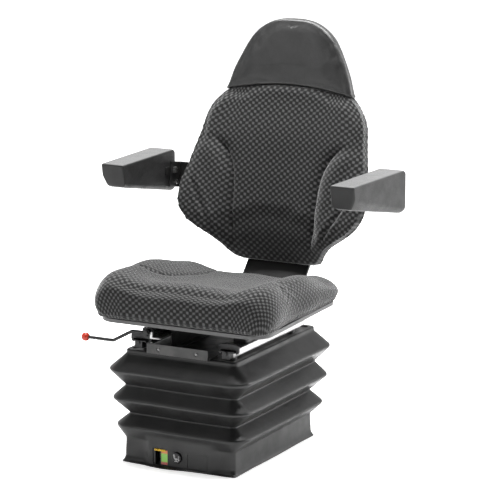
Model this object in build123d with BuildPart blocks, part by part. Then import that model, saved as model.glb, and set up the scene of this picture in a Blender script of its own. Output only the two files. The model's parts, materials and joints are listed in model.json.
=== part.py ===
from build123d import *
from math import asin, atan2, cos, degrees, hypot, radians, sin, tan
import os

# Agricultural machine seat on an air-sprung scissor suspension inside a rubber bellows.
# Millimetres, +Z up. The sitter faces -Y, so the sitter's left is +X.
# The origin is the centre of the four floor bolts on the underside of the base plate.

os.makedirs("parts", exist_ok=True)

# Suspension travel and scissor
stroke = 80.0
arm_height = 30.0
arm_sheet = 6.0
arm_gap = 4.0
arm_race_gap = 2.0
pivot_inset = 37.0
scissor_rise = 232.0
centre_pin_r = 7.0
open_pivot_spare = 0.7
cross_tube_r, cross_tube_wall = 12.0, 2.5
tie_tube_back = 40.0
pin_r = 8.0
pin_inset = 14.0
pivot_ear_sheet = 5.0
pivot_ear_foot = 24.0
running_gap = 0.05
side_gap = 0.5
seat_gap = 0.3
cut_size = 350.0

# Base plate and floor bolts
base_width = 288.0
base_depth = 404.0
base_corner = 14.0
base_sheet = 3.0
base_lip = 9.0
bolt_spacing_x = 180.0
bolt_spacing_y = 300.0
bolt_hole_r = 4.5
nut_across = 14.0
nut_height = 6.5

# Roller races
race_sheet = 3.0
race_outer_x = 140.0
race_inner_x = 119.0
race_height = 32.0
race_front_inset, race_rear_y = 12.0, 72.0
roller_r = 14.0
roller_width = 15.0
roller_pin_r = 6.0
stop_length, stop_end_gap, stop_corner = 7.0, 0.75, 4.0

# Top plate
top_width = 290.0
top_front_y = -199.0
top_rear_y = 218.0
top_sheet = 3.0
top_lip = 12.0

# Rubber bellows
rubber = 2.5
bellows_corner = 34.0
bellows_valley_corner = 9.0
bellows_rim_corner = 16.0
bellows_foot = 0.5
bellows_top_lip = 13.0
skirt_width, skirt_front, skirt_rear, skirt_height = 301.0, -205.0, 205.0, 60.0
foot_flare = 4.0
panel_cut_reach = 20.0
rim_width, rim_front, rim_rear, rim_height = 303.0, -202.0, 226.0, 269.0
ridge_tip = 5.0

# Air spring and damper
air_x, air_y = -25.0, 20.0
air_r = 58.0
air_waist_r = 46.0
air_piston_r = 40.0
air_piston_height = 36.0
air_piston_taper = 4
air_cap_rim, air_cap_height = 6.0, 8.0
damper_x = 75.0
damper_low_y, damper_low_z = -100.0, 40.0
damper_top_y, damper_top_z = 80.0, 236.0
damper_tube_r = 16.0
damper_rod_r = 5.0
damper_eye_r = 13.0
damper_pin_r = 5.0
damper_eye_width = 14.0
damper_fork_sheet = 4.0
damper_fork_room = 4.0
damper_neck = 7.0
damper_tube_length = 145.0
damper_tube_end = 8.0
open_eye_gap = 2.4
open_shift_y, open_shift_z = -1.8, 0.7

# Compressor
compressor_y = -140.0
motor_r, motor_length = 22.0, 62.0
crank_x, crank_width, crank_depth, crank_height = 8.0, 34.0, 48.0, 46.0
fin_count, fin_pitch, fin_r, fin_core_r = 4, 6.0, 14.0, 10.0

# Front control panel with height scale and weight knob
panel_front = -213.0
panel_left, panel_right = -73.0, 84.0
panel_low, panel_high = 5.0, 58.0
panel_depth = 20.0
panel_corner = 6.0
emboss_x, emboss_z, emboss_width, emboss_height, emboss_depth = 54.0, 26.0, 54.0, 40.0, 1.2
scale_sink, scale_film = 2.0, 1.5
scale_x, scale_width = -36.0, 18.0
scale_low, scale_high = 8.0, 44.0
pointer_slot_x, pointer_slot_width = -54.0, 13.0
pointer_travel = 33.0
pointer_z = 43.0
pointer_bar = 4.5
pointer_room = 1.5
pointer_overlap, pointer_sheet, pointer_corner = 4.0, 2.0, 1.0
knob_x, knob_z, knob_r = -1.0, 30.0, 13.0
knob_length, knob_fillet, knob_well_gap = 7.0, 1.5, 1.5
knob_travel = 4.0
knob_shaft_r = 4.0

# Slide rails
rail_x = 119.0
rail_sheet = 2.5
rail_base_z = 282.0
rail_neck = 10.0
rail_head = 19.0
rail_rise = 19.0
rail_half_width = 26.0
rail_front, rail_rear = -185.0, 185.0
rail_foot_y, rail_foot_gap = 150.0, 1.0
rail_cap, rail_screw_r, rail_screw = 4.0, 5.0, 3.0
upper_rail_front, upper_rail_rear = -170.0, 170.0
upper_rail_drop = 14.0
glide_height = 3.5
glide_y, glide_width, glide_length = 70.0, 28.0, 44.0
hook_clear, hook_lip = 1.0, 4.4
bezel_sheet, bezel_rim, bezel_corner, bezel_clear = 6.0, 2.0, 9.0, 1.5
slide_travel = 75.0

# Front plate
front_plate_width = 166.0
front_plate_y = -212.0
front_plate_height = 24.5
front_plate_sheet = 3.0
front_plate_foot = 50.0
front_bolt_x, front_bolt_up = 51.0, 12.0
front_hole_r, front_bolt_r, front_head_r, front_head = 5.0, 3.2, 6.5, 5.0

# Seat pan
pan_half_width = 229.0
pan_front, pan_rear = -209.0, 203.0
pan_front_z, pan_rear_z = 342.4, 354.0
pan_band = 9.0
pan_sheet = 2.0
pan_corner = 50.0
dish_half_width, dish_half_depth = 160.0, 142.0
dish_taper = 12.0
dish_floor_z = 320.0
dish_corner = 30.0
pan_foot_y, pan_foot_width, pan_foot_length, pan_foot_corner = 90.0, 40.0, 56.0, 8.0

# Lock lever
lever_x, lever_y, lever_z = -95.0, -188.0, 322.0
lever_rod_r = 4.0
lever_shoulder_x = -136.0
lever_bend_x, lever_bend_z = -190.0, 292.5
lever_knob_x = -269.0
lever_knob_r, lever_knob_sink = 10.5, 1.0
lever_hub_r = 9.0
lever_hub_width = 10.0
lever_pin_r, lever_nut_r = 4.0, 7.0
lever_bend_r = 14.0
tab_x, tab_z, tab_width, tab_height = -96.5, 320.0, 29.0, 28.0
tab_sheet, tab_corner, tab_arm, tab_reach = 3.0, 6.0, 15.0, 60.0
latch_z = 309.0
latch_sheet = 3.0
latch_left, latch_right = -80.0, -58.0
latch_rear = -52.0
tooth_width, tooth_pitch, latch_tooth_inset = 6.5, 13.0, 6.0
rack_gap, rack_sheet, rack_foot, rack_notches = 0.4, 3.0, 20.0, 12

# Recliner hinge and backrest bracket
bracket_half_width = 87.5
bracket_sheet = 6.0
bracket_low_y, bracket_low_z = 283.0, 375.0
bracket_high_y, bracket_high_z = 311.0, 404.5
bracket_hole_x, bracket_hole_y, bracket_hole_z, bracket_hole_r = 58.3, 281.0, 375.0, 4.3
hinge_y = 258.0
hinge_pin_r = 8.0
hinge_tube_r = 13.0
ear_sheet = 5.0
ear_end_r = 16.0
ear_gap, ear_depth = 1.0, 11.0
ear_front_y, ear_bend_y = 50.0, 150.0
bracket_top = 275.0
bracket_clear = 1.5
bracket_bolt_x, bracket_bolt_s, bracket_bolt_pitch = 60.0, 197.0, 95.0
bracket_bolt_r, bracket_bolt_head = 8.0, 5.5
bracket_pad_r, bracket_pad_reach = 14.0, 16.0

# Backrest
lean = 9.3
back_y, back_z = 311.0, 404.0
back_edge = 34.0
shell_wall = 3.5
shell_gap = 1.0
shell_inset = 10.0
block_reach = 130.0
shell_low, shell_high = 34.0, 425.0
top_seam_x, top_seam_corner, top_seam_middle = 181.0, 441.0, 461.0
# Each station is height up the back, half-width, how far the middle of the edge stands forward,
# how far the middle of the pad lies back, and the pad's thickness there
back_stations = [
    (2.0, 82.0, 4.0, -8.0, 32.0),
    (38.0, 147.0, 41.0, -33.0, 56.0),
    (68.0, 188.0, 73.0, -46.0, 76.0),
    (112.0, 245.0, 85.0, -52.0, 88.0),
    (160.0, 263.0, 78.0, -50.0, 88.0),
    (228.0, 253.0, 57.0, -47.0, 85.0),
    (292.0, 239.0, 37.0, -43.0, 79.0),
    (350.0, 220.0, 23.0, -37.0, 69.0),
    (400.0, 202.0, 13.0, -27.0, 52.0),
    (441.0, 175.0, 4.0, -23.0, 42.0),
    (470.0, 156.0, 2.0, -23.0, 40.0),
]

# Backrest extension
extension_travel = 80.0
extension_thickness = 36.0
extension_proud = 22.0
stay_x, stay_width, stay_sheet = 55.0, 24.0, 6.0
guide_wall = 3.0
guide_gap = 0.2
guide_foot = 28.0
guide_low, guide_high = 300.0, 425.0

# Armrests
arm_inner_x, arm_outer_x = 290.0, 360.0
arm_front_inner_x, arm_front_outer_x = 284.0, 349.0
arm_front, arm_rear = 24.0, 300.0
arm_top, arm_front_low, arm_rear_low = 680.0, 622.0, 569.0
arm_front_lean, arm_edge_r, arm_rear_r = 11.0, 5.0, 12.0
arm_bevel_front, arm_bevel_rear = (12.0, 26.0), (10.0, 10.0)
arm_pivot_y, arm_pivot_z = 276.0, 629.0
arm_pin_r = 6.0
arm_bracket_x = 283.5
arm_bracket_sheet = 5.0
arm_bore_depth = 20.0
arm_stop_y, arm_stop_z, arm_stop_r = 283.0, 597.0, 4.0
arm_hub_r, arm_plate_length, arm_plate_height, arm_lug = 17.0, 34.0, 20.0, 16.0
arm_pad_gap = 1.3
strap_low, strap_high = 44.0, 21.0
strap_nose = 16.0
strap_turn_x, strap_end_x, strap_turn, strap_foot = 232.0, 190.0, 12.0, 40.0

# Worked-out levels. At the bottom of the travel the rollers meet the stops at the front of the races
pivot_y = base_depth / 2 - pivot_inset
race_front_y = race_front_inset - base_depth / 2
stop_rear_y = race_front_y + stop_end_gap + stop_length
roller_low_y = stop_rear_y + seat_gap + roller_r
arm_length = hypot(pivot_y - roller_low_y, scissor_rise - stroke)
race_base_z = base_sheet
lower_pivot_z = race_base_z + race_sheet + race_height / 2
upper_pivot_z = lower_pivot_z + scissor_rise
upper_race_z = upper_pivot_z - race_height / 2 - race_sheet
top_plate_z = upper_race_z + race_height + 2 * race_sheet
arm_angle = degrees(asin(scissor_rise / arm_length))
arm_angle_low = degrees(asin((scissor_rise - stroke) / arm_length))
roller_y = pivot_y - arm_length * cos(radians(arm_angle))
arm_bow = arm_length * sin(radians((arm_angle + arm_angle_low) / 2)) - scissor_rise + stroke / 2
outer_arm_x = race_inner_x - arm_race_gap - arm_sheet / 2
inner_arm_x = outer_arm_x - arm_sheet - arm_gap
roller_x = (race_inner_x + race_outer_x - race_sheet) / 2
print("arm swing, degrees", arm_angle - arm_angle_low, "ratio, rad per m",
      radians(arm_angle - arm_angle_low) / stroke * 1000, "bow", arm_bow)


def write(piece, name):
    piece.label = name
    export_step(piece, f"parts/{name}.step")


def write_pair(piece, name):
    """The piece is modelled on the sitter's left and mirrored for the right."""
    write(piece, f"{name}_left")
    write(piece.mirror(Plane.YZ), f"{name}_right")


# Base plate: flat sheet with a low turned-up lip and four floor bolt holes
with BuildPart() as base_plate:
    with BuildSketch():
        RectangleRounded(base_width, base_depth, base_corner)
        with GridLocations(bolt_spacing_x, bolt_spacing_y, 2, 2):
            Circle(bolt_hole_r, mode=Mode.SUBTRACT)
    extrude(amount=base_sheet)
    with BuildSketch():
        RectangleRounded(base_width, base_depth, base_corner)
        RectangleRounded(base_width - 2 * base_sheet, base_depth - 2 * base_sheet,
                         base_corner - base_sheet, mode=Mode.SUBTRACT)
    extrude(amount=base_lip)
    # Welded fork that carries the foot of the damper
    with BuildSketch(Plane.YZ.offset(damper_x)):
        with Locations((damper_low_y, damper_low_z)):
            Circle(damper_eye_r)
        with Locations((damper_low_y, (base_sheet + damper_low_z) / 2)):
            Rectangle(2 * damper_eye_r, damper_low_z - base_sheet)
    extrude(amount=damper_eye_width / 2 + side_gap + damper_fork_sheet, both=True)
    with BuildSketch(Plane.YZ.offset(damper_x)):
        with Locations((damper_low_y, damper_low_z)):
            Rectangle(2 * (damper_eye_r + damper_fork_room), 2 * (damper_eye_r + damper_fork_room))
    extrude(amount=damper_eye_width / 2 + side_gap, both=True, mode=Mode.SUBTRACT)
    with BuildSketch(Plane.YZ.offset(damper_x)):
        with Locations((damper_low_y, damper_low_z)):
            Circle(damper_pin_r)
    extrude(amount=damper_eye_width / 2 + side_gap + damper_fork_sheet, both=True)
write(base_plate.part, "base_plate")

with BuildPart() as floor_nuts:
    with BuildSketch(Plane.XY.offset(base_sheet)):
        with GridLocations(bolt_spacing_x, bolt_spacing_y, 2, 2):
            RegularPolygon(nut_across / 2, 6, major_radius=False)
            Circle(bolt_hole_r, mode=Mode.SUBTRACT)
    extrude(amount=nut_height)
write(floor_nuts.part, "floor_nuts")


def race(base_z, name):
    """A pair of C-shaped races that open inwards, one for each roller."""
    with BuildPart() as races:
        with BuildSketch(Plane.XZ.offset(-race_front_y)):
            with Locations(((race_inner_x + race_outer_x) / 2, base_z + race_height / 2 + race_sheet)):
                Rectangle(race_outer_x - race_inner_x, race_height + 2 * race_sheet)
            with Locations(((race_inner_x + race_outer_x) / 2 - race_sheet,
                            base_z + race_height / 2 + race_sheet)):
                Rectangle(race_outer_x - race_inner_x, race_height, mode=Mode.SUBTRACT)
        extrude(amount=-(race_rear_y - race_front_y))
        mirror(about=Plane.YZ)
    write(races.part, name)


race(race_base_z, "lower_races")
race(upper_race_z, "upper_races")

# Rubber stops at the front end of the lower races
with BuildPart() as race_stops:
    with BuildSketch(Plane.XZ.offset(-stop_rear_y)):
        with Locations((roller_x, lower_pivot_z)):
            RectangleRounded(roller_width, race_height - 2 * side_gap, stop_corner)
    extrude(amount=stop_length)
    mirror(about=Plane.YZ)
write(race_stops.part, "race_stops")

# Ears that carry the two rear pivots, each with its riveted pin
base_ear_x = outer_arm_x + arm_sheet / 2 + side_gap
with BuildPart() as base_ears:
    with BuildSketch(Plane.YZ.offset(base_ear_x)):
        with Locations((pivot_y, lower_pivot_z)):
            Circle(arm_height / 2)
        with BuildLine():
            Polyline((pivot_y - pivot_ear_foot, base_sheet), (pivot_y + pivot_ear_foot, base_sheet),
                     (pivot_y + arm_height / 2, lower_pivot_z), (pivot_y - arm_height / 2, lower_pivot_z),
                     close=True)
        make_face()
    extrude(amount=pivot_ear_sheet)
    with BuildSketch(Plane.YZ.offset(base_ear_x + pivot_ear_sheet)):
        with Locations((pivot_y, lower_pivot_z)):
            Circle(pin_r)
    extrude(amount=-(pivot_ear_sheet + side_gap + arm_sheet + pin_inset))
    mirror(about=Plane.YZ)
write(base_ears.part, "base_ears")

upper_ear_x = inner_arm_x + arm_sheet / 2 + side_gap
with BuildPart() as upper_ears:
    with BuildSketch(Plane.YZ.offset(upper_ear_x)):
        with Locations((pivot_y, upper_pivot_z)):
            Circle(arm_height / 2)
        with BuildLine():
            Polyline((pivot_y - pivot_ear_foot, top_plate_z), (pivot_y + pivot_ear_foot, top_plate_z),
                     (pivot_y + arm_height / 2, upper_pivot_z), (pivot_y - arm_height / 2, upper_pivot_z),
                     close=True)
        make_face()
    extrude(amount=pivot_ear_sheet)
    with BuildSketch(Plane.YZ.offset(upper_ear_x + pivot_ear_sheet)):
        with Locations((pivot_y, upper_pivot_z)):
            Circle(pin_r)
    extrude(amount=-(pivot_ear_sheet + side_gap + arm_sheet + pin_inset))
    mirror(about=Plane.YZ)
write(upper_ears.part, "upper_ears")


# Scissor arms, drawn flat along the line from their rear pivot to their roller
def arm_plane(x, pivot_z, rise):
    """Local x runs from the rear pivot to the roller, local z points to +X."""
    angle = radians(arm_angle)
    along = Vector(0, -cos(angle), rise * sin(angle))
    return Plane(origin=(x, pivot_y, pivot_z), x_dir=along, z_dir=(1, 0, 0))


centre_hole_r = centre_pin_r + arm_bow + open_pivot_spare


def scissor_arm(x, pivot_z, rise, centre_r):
    """One arm with its rear bore and the riveted axle of its roller."""
    face = arm_plane(x - arm_sheet / 2, pivot_z, rise)
    with BuildPart() as arm:
        with BuildSketch(face):
            with Locations((arm_length / 2, 0)):
                SlotCenterToCenter(arm_length, arm_height)
            Circle(pin_r + running_gap, mode=Mode.SUBTRACT)
            with Locations((arm_length / 2, 0)):
                Circle(centre_r, mode=Mode.SUBTRACT)
        extrude(amount=arm_sheet)
        with BuildSketch(face):
            with Locations((arm_length, 0)):
                Circle(roller_pin_r)
        extrude(amount=roller_x + roller_width / 2 + side_gap - (x - arm_sheet / 2))
    return arm.part


write_pair(scissor_arm(outer_arm_x, lower_pivot_z, 1, centre_pin_r), "outer_arm")
write_pair(scissor_arm(inner_arm_x, upper_pivot_z, -1, centre_hole_r), "inner_arm")

# Pins through the crossing of the arms, pressed in the outer arms
with BuildPart() as centre_pins:
    with BuildSketch(arm_plane(inner_arm_x - arm_sheet / 2 - 2, lower_pivot_z, 1)):
        with Locations((arm_length / 2, 0)):
            Circle(centre_pin_r)
    extrude(amount=outer_arm_x + arm_sheet / 2 + 1 - (inner_arm_x - arm_sheet / 2 - 2))
    mirror(about=Plane.YZ)
write(centre_pins.part, "centre_pins")

# Cross tubes that tie each pair of arms
tie_along = arm_length - tie_tube_back


def cross_tube(pivot_z, rise, along, inner, reach):
    with BuildPart() as tube:
        with BuildSketch(arm_plane(-reach, pivot_z, rise)):
            with Locations((along, 0)):
                Circle(cross_tube_r)
                Circle(inner, mode=Mode.SUBTRACT)
        extrude(amount=2 * reach)
    return tube.part


outer_reach = outer_arm_x - arm_sheet / 2
inner_reach = inner_arm_x - arm_sheet / 2
write(cross_tube(lower_pivot_z, 1, 0, pin_r + 1, outer_reach), "outer_cross_tube")
write(cross_tube(lower_pivot_z, 1, tie_along, cross_tube_r - cross_tube_wall, outer_reach), "outer_tie_tube")
write(cross_tube(upper_pivot_z, -1, 0, pin_r + 1, inner_reach), "inner_cross_tube")


def rollers(pivot_z, name):
    with BuildPart() as pair:
        with BuildSketch(Plane.YZ.offset(roller_x - roller_width / 2)):
            with Locations((roller_y, pivot_z)):
                Circle(roller_r)
                Circle(roller_pin_r + running_gap, mode=Mode.SUBTRACT)
        extrude(amount=roller_width)
        mirror(about=Plane.YZ)
    write(pair.part, name)


rollers(upper_pivot_z, "upper_rollers")
rollers(lower_pivot_z, "lower_rollers")

# Top plate of the suspension, with the air spring's cap and the damper's hanger welded under it
top_mid_y = (top_front_y + top_rear_y) / 2
top_depth = top_rear_y - top_front_y
with BuildPart() as top_plate:
    with BuildSketch(Plane.XY.offset(top_plate_z)):
        with Locations((0, top_mid_y)):
            RectangleRounded(top_width, top_depth, base_corner)
    extrude(amount=top_sheet)
    with BuildSketch(Plane.XY.offset(top_plate_z)):
        with Locations((0, top_mid_y)):
            RectangleRounded(top_width, top_depth, base_corner)
            RectangleRounded(top_width - 2 * top_sheet, top_depth - 2 * top_sheet,
                             base_corner - top_sheet, mode=Mode.SUBTRACT)
    extrude(amount=-top_lip)
    with BuildSketch(Plane.XY.offset(top_plate_z)):
        with Locations((air_x, air_y)):
            Circle(air_piston_r + air_cap_rim)
    extrude(amount=-air_cap_height)
    with BuildSketch(Plane.YZ.offset(damper_x)):
        with Locations((damper_top_y, damper_top_z)):
            Circle(damper_eye_r)
        with Locations((damper_top_y, (top_plate_z + damper_top_z) / 2)):
            Rectangle(2 * damper_eye_r, top_plate_z - damper_top_z)
    extrude(amount=damper_eye_width / 2 + side_gap + damper_fork_sheet, both=True)
    with BuildSketch(Plane.YZ.offset(damper_x)):
        with Locations((damper_top_y, damper_top_z)):
            Rectangle(2 * (damper_eye_r + damper_fork_room), 2 * (damper_eye_r + damper_fork_room))
    extrude(amount=damper_eye_width / 2 + side_gap, both=True, mode=Mode.SUBTRACT)
    with BuildSketch(Plane.YZ.offset(damper_x)):
        with Locations((damper_top_y, damper_top_z)):
            Circle(damper_pin_r)
    extrude(amount=damper_eye_width / 2 + side_gap + damper_fork_sheet, both=True)
write(top_plate.part, "top_plate")

# Air spring: piston, rubber bellows and cap
air_low = base_sheet + air_piston_height
air_high = top_plate_z - air_cap_height
with BuildPart() as air_piston:
    with BuildSketch(Plane.XY.offset(base_sheet)):
        with Locations((air_x, air_y)):
            Circle(air_piston_r)
    extrude(amount=air_piston_height, taper=air_piston_taper)
write(air_piston.part, "air_piston")

with BuildPart() as air_spring:
    middle = (air_low + air_high) / 2
    quarter = (air_high - air_low) / 4
    with BuildSketch(Plane.XZ.offset(-air_y)):
        with BuildLine():
            Polyline((air_x, air_low), (air_x + air_piston_r - air_piston_taper, air_low))
            Spline((air_x + air_piston_r - air_piston_taper, air_low), (air_x + air_r, air_low + quarter),
                   (air_x + air_waist_r, middle), (air_x + air_r, air_high - quarter),
                   (air_x + air_piston_r, air_high))
            Polyline((air_x + air_piston_r, air_high), (air_x, air_high), (air_x, air_low))
        make_face()
    revolve(axis=Axis((air_x, air_y, 0), (0, 0, 1)))
write(air_spring.part, "air_spring")

# Compressor that fills the air spring: motor, crank box and finned head
motor_start = crank_x - crank_width / 2 - motor_length
head_low = base_sheet + crank_height
with BuildPart() as compressor:
    with BuildSketch(Plane.YZ.offset(motor_start)):
        with Locations((compressor_y, base_sheet + motor_r + 2)):
            Circle(motor_r)
    extrude(amount=motor_length)
    with BuildSketch(Plane.XY.offset(base_sheet)):
        with Locations((motor_start + motor_length / 2, compressor_y)):
            Rectangle(motor_length - 2 * fin_pitch, 2 * motor_r - fin_pitch)
    extrude(amount=motor_r / 2)
    with BuildSketch(Plane.XY.offset(base_sheet)):
        with Locations((crank_x, compressor_y)):
            RectangleRounded(crank_width, crank_depth, fin_pitch)
    extrude(amount=crank_height)
    for fin in range(fin_count):
        for rise, fin_radius in ((0, fin_r), (fin_pitch / 2, fin_core_r)):
            with BuildSketch(Plane.XY.offset(head_low + fin_pitch * fin + rise)):
                with Locations((crank_x, compressor_y)):
                    Circle(fin_radius)
            extrude(amount=fin_pitch / 2)
write(compressor.part, "compressor")

# Damper: the tube hinges on the base, the rod slides in it and meets the top plate's pin
damper_run_y = damper_top_y - damper_low_y
damper_run_z = damper_top_z - damper_low_z
damper_length = hypot(damper_run_y, damper_run_z)
damper_length_low = hypot(damper_run_y, damper_run_z - stroke)
damper_stroke = damper_length - damper_length_low
damper_swing = atan2(damper_run_z, damper_run_y) - atan2(damper_run_z - stroke, damper_run_y)
print("damper stroke", damper_stroke, "swing rad", damper_swing)
damper_along = Vector(0, damper_run_y, damper_run_z) / damper_length
# Local x runs from the foot to the top eye
damper_plane = Plane(origin=(damper_x, damper_low_y, damper_low_z), x_dir=damper_along, z_dir=(-1, 0, 0))


def damper_cross(distance):
    """Plane square to the damper, a given distance from its foot."""
    centre = Vector(damper_x, damper_low_y, damper_low_z) + damper_along * distance
    return Plane(origin=centre, x_dir=(1, 0, 0), z_dir=damper_along)


tube_start = damper_eye_r + 2
damper_bore_r = damper_rod_r + running_gap
with BuildPart() as damper_tube:
    with BuildSketch(damper_plane):
        Circle(damper_eye_r)
    extrude(amount=damper_eye_width / 2, both=True)
    with BuildSketch(damper_cross(0)):
        Circle(damper_neck)
    extrude(amount=tube_start)
    with BuildSketch(damper_cross(tube_start)):
        Circle(damper_tube_r)
    extrude(amount=damper_tube_length)
    with BuildSketch(damper_plane):
        Circle(damper_pin_r + running_gap)
    extrude(amount=damper_eye_width, both=True, mode=Mode.SUBTRACT)
    with BuildSketch(damper_cross(tube_start + damper_tube_length)):
        Circle(damper_bore_r)
    extrude(amount=-(damper_tube_length - damper_tube_end), mode=Mode.SUBTRACT)
write(damper_tube.part, "damper_tube")

# The top eye is the linkage's open pivot, so its bore leaves room for the pin's path
open_eye_r = damper_eye_r + 1
with BuildPart() as damper_rod:
    eye = Plane(origin=(damper_x, damper_top_y + open_shift_y, damper_top_z + open_shift_z),
                x_dir=(0, 1, 0), z_dir=(1, 0, 0))
    with BuildSketch(eye):
        Circle(open_eye_r)
    extrude(amount=damper_eye_width / 2, both=True)
    with BuildSketch(damper_cross(damper_length - open_eye_r + 3)):
        Circle(damper_rod_r)
    extrude(amount=-(damper_length - open_eye_r - tube_start - damper_stroke - 30))
    with BuildSketch(eye):
        Circle(damper_pin_r + open_eye_gap)
    extrude(amount=damper_eye_width, both=True, mode=Mode.SUBTRACT)
write(damper_rod.part, "damper_rod")


# Bellows: rounded rectangles joined level by level, hollow, with an inward top lip
def ring(width, front, rear, corner, z, wall=0.0):
    with BuildSketch(Plane.XY.offset(z)) as outline:
        with Locations((0, (front + rear) / 2)):
            RectangleRounded(width - 2 * wall, rear - front - 2 * wall, corner - wall)
    return outline.sketch


pleats = [
    (360.0, -224.0, 241.0, bellows_corner, 90.0),
    (291.0, -197.0, 214.0, bellows_valley_corner, 119.0),
    (374.0, -232.0, 254.0, bellows_corner, 158.0),
    (305.0, -205.0, 226.0, bellows_valley_corner, 190.0),
    (384.0, -240.0, 262.0, bellows_corner, 231.0),
]
levels = [
    (skirt_width + foot_flare / 2, skirt_front - foot_flare, skirt_rear + foot_flare, bellows_valley_corner,
     bellows_foot),
    (skirt_width, skirt_front, skirt_rear, bellows_valley_corner, skirt_height),
]
for width, front, rear, corner, z in pleats:
    if corner == bellows_corner:
        levels.append((width, front, rear, corner, z - ridge_tip / 2))
        levels.append((width, front, rear, corner, z + ridge_tip / 2))
    else:
        levels.append((width, front, rear, corner, z))
levels.append((rim_width, rim_front, rim_rear, bellows_rim_corner, rim_height))
top_lip_z = top_plate_z + top_sheet + seat_gap
levels.append((rim_width, rim_front, rim_rear, bellows_rim_corner, top_lip_z + rubber))

with BuildPart() as bellows:
    for below, above in zip(levels, levels[1:]):
        loft([ring(*below), ring(*above)], ruled=True)
    for below, above in zip(levels, levels[1:]):
        loft([ring(*below, rubber), ring(*above, rubber)], ruled=True, mode=Mode.SUBTRACT)
    with BuildSketch(Plane.XY.offset(top_lip_z)):
        with Locations((0, (rim_front + rim_rear) / 2)):
            RectangleRounded(rim_width, rim_rear - rim_front, bellows_rim_corner)
            RectangleRounded(rim_width - 2 * bellows_top_lip, rim_rear - rim_front - 2 * bellows_top_lip,
                             bellows_rim_corner / 2, mode=Mode.SUBTRACT)
    extrude(amount=rubber)
    with BuildSketch(Plane.XZ.offset(-skirt_front - panel_cut_reach)):
        with Locations(((panel_left + panel_right) / 2, (panel_high + bellows_foot) / 2)):
            Rectangle(panel_right - panel_left + 2 * side_gap, panel_high + 1)
    extrude(amount=2 * panel_cut_reach, mode=Mode.SUBTRACT)
write(bellows.part, "bellows")

# Control panel, with the pointer's slot, the scale's seat and the knob's well
panel_mid_x = (panel_left + panel_right) / 2
panel_mid_z = (panel_low + panel_high) / 2
knob_well_r = knob_r + knob_well_gap
knob_well = knob_travel + scale_sink + knob_well_gap
# The panel's rear stands on the base plate and steps over its lip
step_mid_y = panel_front + 2 * panel_depth
with BuildPart() as control_panel:
    with BuildSketch(Plane.XZ.offset(-panel_front)):
        with Locations((panel_mid_x, panel_mid_z)):
            RectangleRounded(panel_right - panel_left, panel_high - panel_low, panel_corner)
        with Locations((pointer_slot_x, pointer_z - pointer_travel / 2)):
            Rectangle(pointer_slot_width, pointer_travel + pointer_bar + 2 * pointer_room, mode=Mode.SUBTRACT)
        with Locations((knob_x, knob_z)):
            Circle(knob_shaft_r + running_gap, mode=Mode.SUBTRACT)
    extrude(amount=-panel_depth)
    with BuildSketch(Plane.XZ.offset(-panel_front)):
        with Locations((knob_x, knob_z)):
            Circle(knob_well_r)
    extrude(amount=-knob_well, mode=Mode.SUBTRACT)
    with BuildSketch(Plane.XZ.offset(-panel_front)):
        with Locations((emboss_x, emboss_z)):
            RectangleRounded(emboss_width, emboss_height, panel_corner)
    extrude(amount=-emboss_depth, mode=Mode.SUBTRACT)
    # The rear lower edge steps over the base plate's lip
    with BuildSketch(Plane.XY.offset(base_lip + seat_gap)):
        with Locations((panel_mid_x, step_mid_y)):
            Rectangle(panel_right - panel_left + 2, 2 * (step_mid_y + base_depth / 2 + seat_gap))
    extrude(amount=-base_lip, mode=Mode.SUBTRACT)
    with BuildSketch(Plane.XZ.offset(-panel_front)):
        with Locations((scale_x, (scale_low + scale_high) / 2)):
            Rectangle(scale_width, scale_high - scale_low)
    extrude(amount=-scale_sink, mode=Mode.SUBTRACT)
write(control_panel.part, "control_panel")

with BuildPart() as height_scale:
    with BuildSketch(Plane.XZ.offset(-panel_front - scale_sink)):
        with Locations((scale_x, (scale_low + scale_high) / 2)):
            Rectangle(scale_width, scale_high - scale_low)
    extrude(amount=scale_film)
write(height_scale.part, "height_scale")

# The pointer's bar runs over the panel's face and its tail ends short of the base plate
pointer_left = pointer_slot_x - pointer_slot_width / 2 - pointer_overlap / 2
pointer_right = scale_x + pointer_overlap
pointer_tail = -base_depth / 2 - panel_front - 2 * seat_gap
with BuildPart() as height_pointer:
    with BuildSketch(Plane.XZ.offset(-panel_front + seat_gap)):
        with Locations(((pointer_left + pointer_right) / 2, pointer_z)):
            RectangleRounded(pointer_right - pointer_left, pointer_bar, pointer_corner)
    extrude(amount=pointer_sheet)
    with BuildSketch(Plane.XZ.offset(-panel_front + seat_gap)):
        with Locations((pointer_slot_x, pointer_z)):
            Rectangle(pointer_slot_width - 2 * seat_gap, pointer_bar)
    extrude(amount=-pointer_tail)
write(height_pointer.part, "height_pointer")

with BuildPart() as weight_knob:
    with BuildSketch(Plane.XZ.offset(-panel_front + knob_length - scale_sink)):
        with Locations((knob_x, knob_z)):
            Circle(knob_r)
    extrude(amount=-knob_length)
    fillet(weight_knob.edges().filter_by(GeomType.CIRCLE).sort_by(Axis.Y)[0], knob_fillet)
    with BuildSketch(Plane.XZ.offset(-panel_front - scale_sink)):
        with Locations((knob_x, knob_z)):
            Circle(knob_shaft_r)
    extrude(amount=-(panel_depth + knob_travel))
write(weight_knob.part, "weight_knob")

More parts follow.
